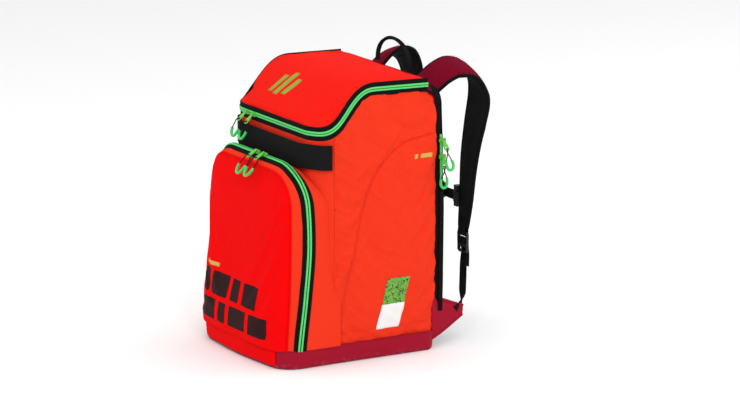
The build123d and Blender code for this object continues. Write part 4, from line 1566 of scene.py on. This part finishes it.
def build_sternum_webs():
    """Chest webbing; the left one rides on the sternum body, the right one is baked where it stands."""
    for side, x0, x1 in (("right", 11, 70), ("left", -70, -24)):
        path = []
        for x in np.linspace(x0, x1, 9):
            sag = 0.9 * math.sin(math.pi * (x - x0) / (x1 - x0))
            path.append((x, STERNUM_Y + 0.5 * math.sin(x / 9), STERNUM_Z - sag))
        web = ribbon("chest_webbing_" + side, path, (0, -0.09, 1), 19.2, WEBBING, thick=1.5, count=40)
        settle(web)
        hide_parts("sternum_web_" + side)
        if side == "left":
            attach(web, "sternum")
        else:
            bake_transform(web)


def build_label():
    """Woven label sewn low on the right side."""
    corners = [(200, 18, 57), (200, 66, 57), (200, 86, 150), (200, 40, 150)]
    label = patch("woven_label", SURFACES["side_right"], corners, (-1, 0, 0), LABEL, rows=30, cols=16,
                  lift=0.9, thick=0.7)
    settle(label)
    place(label, "bag", "label", "side_label")


def slanted(low, high, x0, x1, lean, place_at):
    """Corners of a bar from x0 to x1, leaning as it rises; place_at puts (across, up) in space."""
    return [place_at(*q) for q in ((x0, low), (x1, low), (x1 + lean, high), (x0 + lean, high))]


def door_patch(name, corners, material, rows):
    """Print on the front of the door."""
    return patch(name, SURFACES["door"], corners, (0, 1, 0), material, rows, 20, lift=0.6)


def build_marks():
    """Plain generic marks in the places where the bag is printed."""
    slabs = []
    for x, y_low, y_high in ((-76, -72, -40), (-52, -76, -30), (-28, -72, -40)):
        corners = slanted(y_low, y_high, x, x + 14, 10, lambda x, y: (x, y, 600))
        slabs.append(patch("lid_bar", SURFACES["lid"], corners, (0, 0, -1), PRINT_OLIVE, 10, 6, lift=0.4))
    place(join("lid_mark", slabs), "lid", "label")
    slabs = []
    rows = ((100, 142, ((-126, -98), (-84, -26), (-12, 16), (30, 82))),
            (52, 90, ((-126, -70), (-56, -30), (-16, 44), (58, 112))))
    for low, high, spans in rows:
        for a, b in spans:
            corners = slanted(low, high, a, b, (high - low) * 0.18, lambda x, z: (x, -400, z))
            slabs.append(door_patch("door_bar", corners, PRINT_DARK, 20))
    place(join("door_mark", slabs), "door", "label")
    corners = slanted(150, 157, -116, -66, 3, lambda x, z: (x, -400, z))
    place(settle(door_patch("door_small_bar", corners, PRINT_PALE, 7)), "door", "label")
    slabs = []
    side = SURFACES["side_right"]
    for y, wide in ((96, 8), (110, 24)):
        corners = slanted(366, 374, y, y + wide, 2, lambda y, z: (300, y, z))
        slabs.append(patch("side_bar", side, corners, (-1, 0, 0), PRINT_PALE, 5, 8, lift=0.4))
    place(join("side_mark", slabs), "bag", "label")


def side_line(sign, line, lift):
    """A line in the YZ plane laid on a side wall."""
    flat = np.column_stack([np.full(len(line), sign * 300.0), line])
    return drape(SURFACES["side_right" if sign > 0 else "side_left"], flat, (-sign, 0, 0), lift)


def build_seams():
    """Sewn lines and piping on the body."""
    for side, sign in (("right", 1), ("left", -1)):
        line = even(SIDE_SEAM[3:][SIDE_SEAM[3:, 1] > BASE_TOP + 4], 150)
        seam, normal = side_line(sign, line, 0.1)
        twin, twin_normal = side_line(sign, line + [-4.0, 1.5], 0.1)
        things = [tube("seam_cord", seam, 0.8, SIDE_LIT_CLOTH, sides=6),
                  stitches("seam_stitch", twin, twin_normal, RED_THREAD)]
        wave = np.full(60, 58.0) + 3 * np.sin(np.linspace(0, 3, 60))
        low = np.column_stack([np.linspace(-50, 133, 60), wave])
        hem = side_line(sign, low, 0.1)[0]
        things.append(tube("hem_cord", hem, 0.7, SIDE_LIT_CLOTH, sides=6))
        along_s = np.concatenate([np.full(80, SIDE_END), np.linspace(SIDE_END, SIDE_END - 44, 40)[1:]])
        z = np.concatenate([np.linspace(BASE_TOP + 2, side_top(SIDE_END), 80), side_top(along_s[80:])])
        rear, out = plan(sign * along_s, z)
        rear = even(rear + out * 0.8 + [0, 0.8, 0.6], 130)
        piping = tube("rear_piping_" + side, rear, 2.3, BINDING, sides=10)
        place(join("body_seams_" + side, things), "bag", "side_fabric")
        place(piping, "bag", "webbing")
        z = np.linspace(BASE_TOP + 3, 415, 90)
        seam, normal = plan(np.full(90, sign * FRONT_SEAM_S), z)
        fold = tube("corner_seam_" + side, seam + normal * 0.2, 1.7, SIDE_LIT_CLOTH, sides=8)
        place(fold, "bag", "side_fabric")


def build_skirt():
    """Cloth carried down over the front of the base."""
    corners = [(155, -60), (158, -173), (0, -185), (-158, -173), (-155, -60)]
    loop = even(rounded_path(corners, [0, 46, 700, 46, 0], arc_step=4), 160)[38:-38]
    tangent = np.gradient(loop, axis=0)
    out = np.stack([tangent[:, 1], -tangent[:, 0]], axis=1)
    out /= np.linalg.norm(out, axis=1, keepdims=True)
    out *= np.sign(np.sum(out * loop, axis=1).mean())
    rows = []
    for z, lift in ((6.0, 0.6), (7.0, 1.4), (16, 2.4), (26, 3.2), (34, 3.4), (37.0, 1.6)):
        rows.append(np.column_stack([loop + out * lift, np.full(len(loop), z)]))
    skirt = panel("front_skirt", np.array(rows), FRONT_SHADED_CLOTH, thick=1.2, centre=(0, 0, 20))
    place(skirt, "bag", "front_fabric")


def finish_hardware():
    """Better finishes and softened edges for the parts that keep their CAD shape."""
    finishes = {"ladder_lock": HARDWARE, "sternum_clip": HARDWARE, "buckle": HARDWARE,
                "slider": PAINT, "tab": PAINT, "grip": GRIP, "frame_sheet": HARDWARE,
                "base_board": HARDWARE}
    for name, thing in frame["nodes"].items():
        for start, material in finishes.items():
            if not name.startswith(start):
                continue
            thing.data.materials.clear()
            thing.data.materials.append(material)
            if start in ("frame_sheet", "base_board", "grip"):
                continue
            soft = thing.modifiers.new("soft_edges", "BEVEL")
            soft.width = 0.35 * MM
            soft.segments = 2
            soft.limit_method = "ANGLE"
            soft.angle_limit = math.radians(35)


build_sides()
build_front_wall()
build_back_wall()
build_yoke()
build_lid()
build_lid_zip()
build_door()
build_pocket()
build_base()
build_skirt()
build_band()
build_handle()
build_strap("right", 1, SAG_RIGHT)
build_strap("left", -1, SAG_LEFT)
for wing_side, wing_sign in (("right", 1), ("left", -1)):
    build_lower_web(wing_side, wing_sign)
    build_wing(wing_side, wing_sign)
build_pad()
build_side_zip()
build_sternum_webs()
build_label()
build_marks()
build_seams()
finish_hardware()
for surface_name in ("side_right", "side_left", "door"):
    bpy.data.objects.remove(SURFACES[surface_name])


# ================================================================ stage
def build_stage():
    """White floor the bag stands on."""
    mesh = bpy.data.meshes.new("floor")
    size = 14.0
    corners = [(-size, -size, 0), (size, -size, 0), (size, size, 0), (-size, size, 0)]
    mesh.from_pydata(corners, [], [(0, 1, 2, 3)])
    floor = link("floor", mesh)
    mesh.materials.append(new_material("floor_white", (0.93, 0.93, 0.93), 0.9, specular=0.1)[0])


def area_light(name, location, size, power):
    """White area light aimed at the middle of the bag; location in metres."""
    data = bpy.data.lights.new(name, "AREA")
    data.size = size
    data.energy = power
    lamp = bpy.data.objects.new(name, data)
    lamp.location = location
    lamp.rotation_euler = (Vector((0, 0, 0.25)) - Vector(location)).to_track_quat("-Z", "Y").to_euler()
    bpy.context.scene.collection.objects.link(lamp)


def build_lights():
    """Soft studio light: four area lights and a white surround."""
    area_light("key", (3.6, -1.6, 3.2), 2.0, 80)
    area_light("fill", (-2.4, -3.6, 2.2), 3.0, 24)
    area_light("top", (0.2, 0.4, 4.2), 3.0, 30)
    area_light("rear", (0.6, 3.8, 2.0), 2.5, 40)
    world = bpy.context.scene.world or bpy.data.worlds.new("world")
    bpy.context.scene.world = world
    world.use_nodes = True
    world.node_tree.nodes["Background"].inputs["Color"].default_value = (1, 1, 1, 1)
    world.node_tree.nodes["Background"].inputs["Strength"].default_value = 0.80


build_stage()
build_lights()
bpy.context.scene.view_settings.view_transform = "Standard"
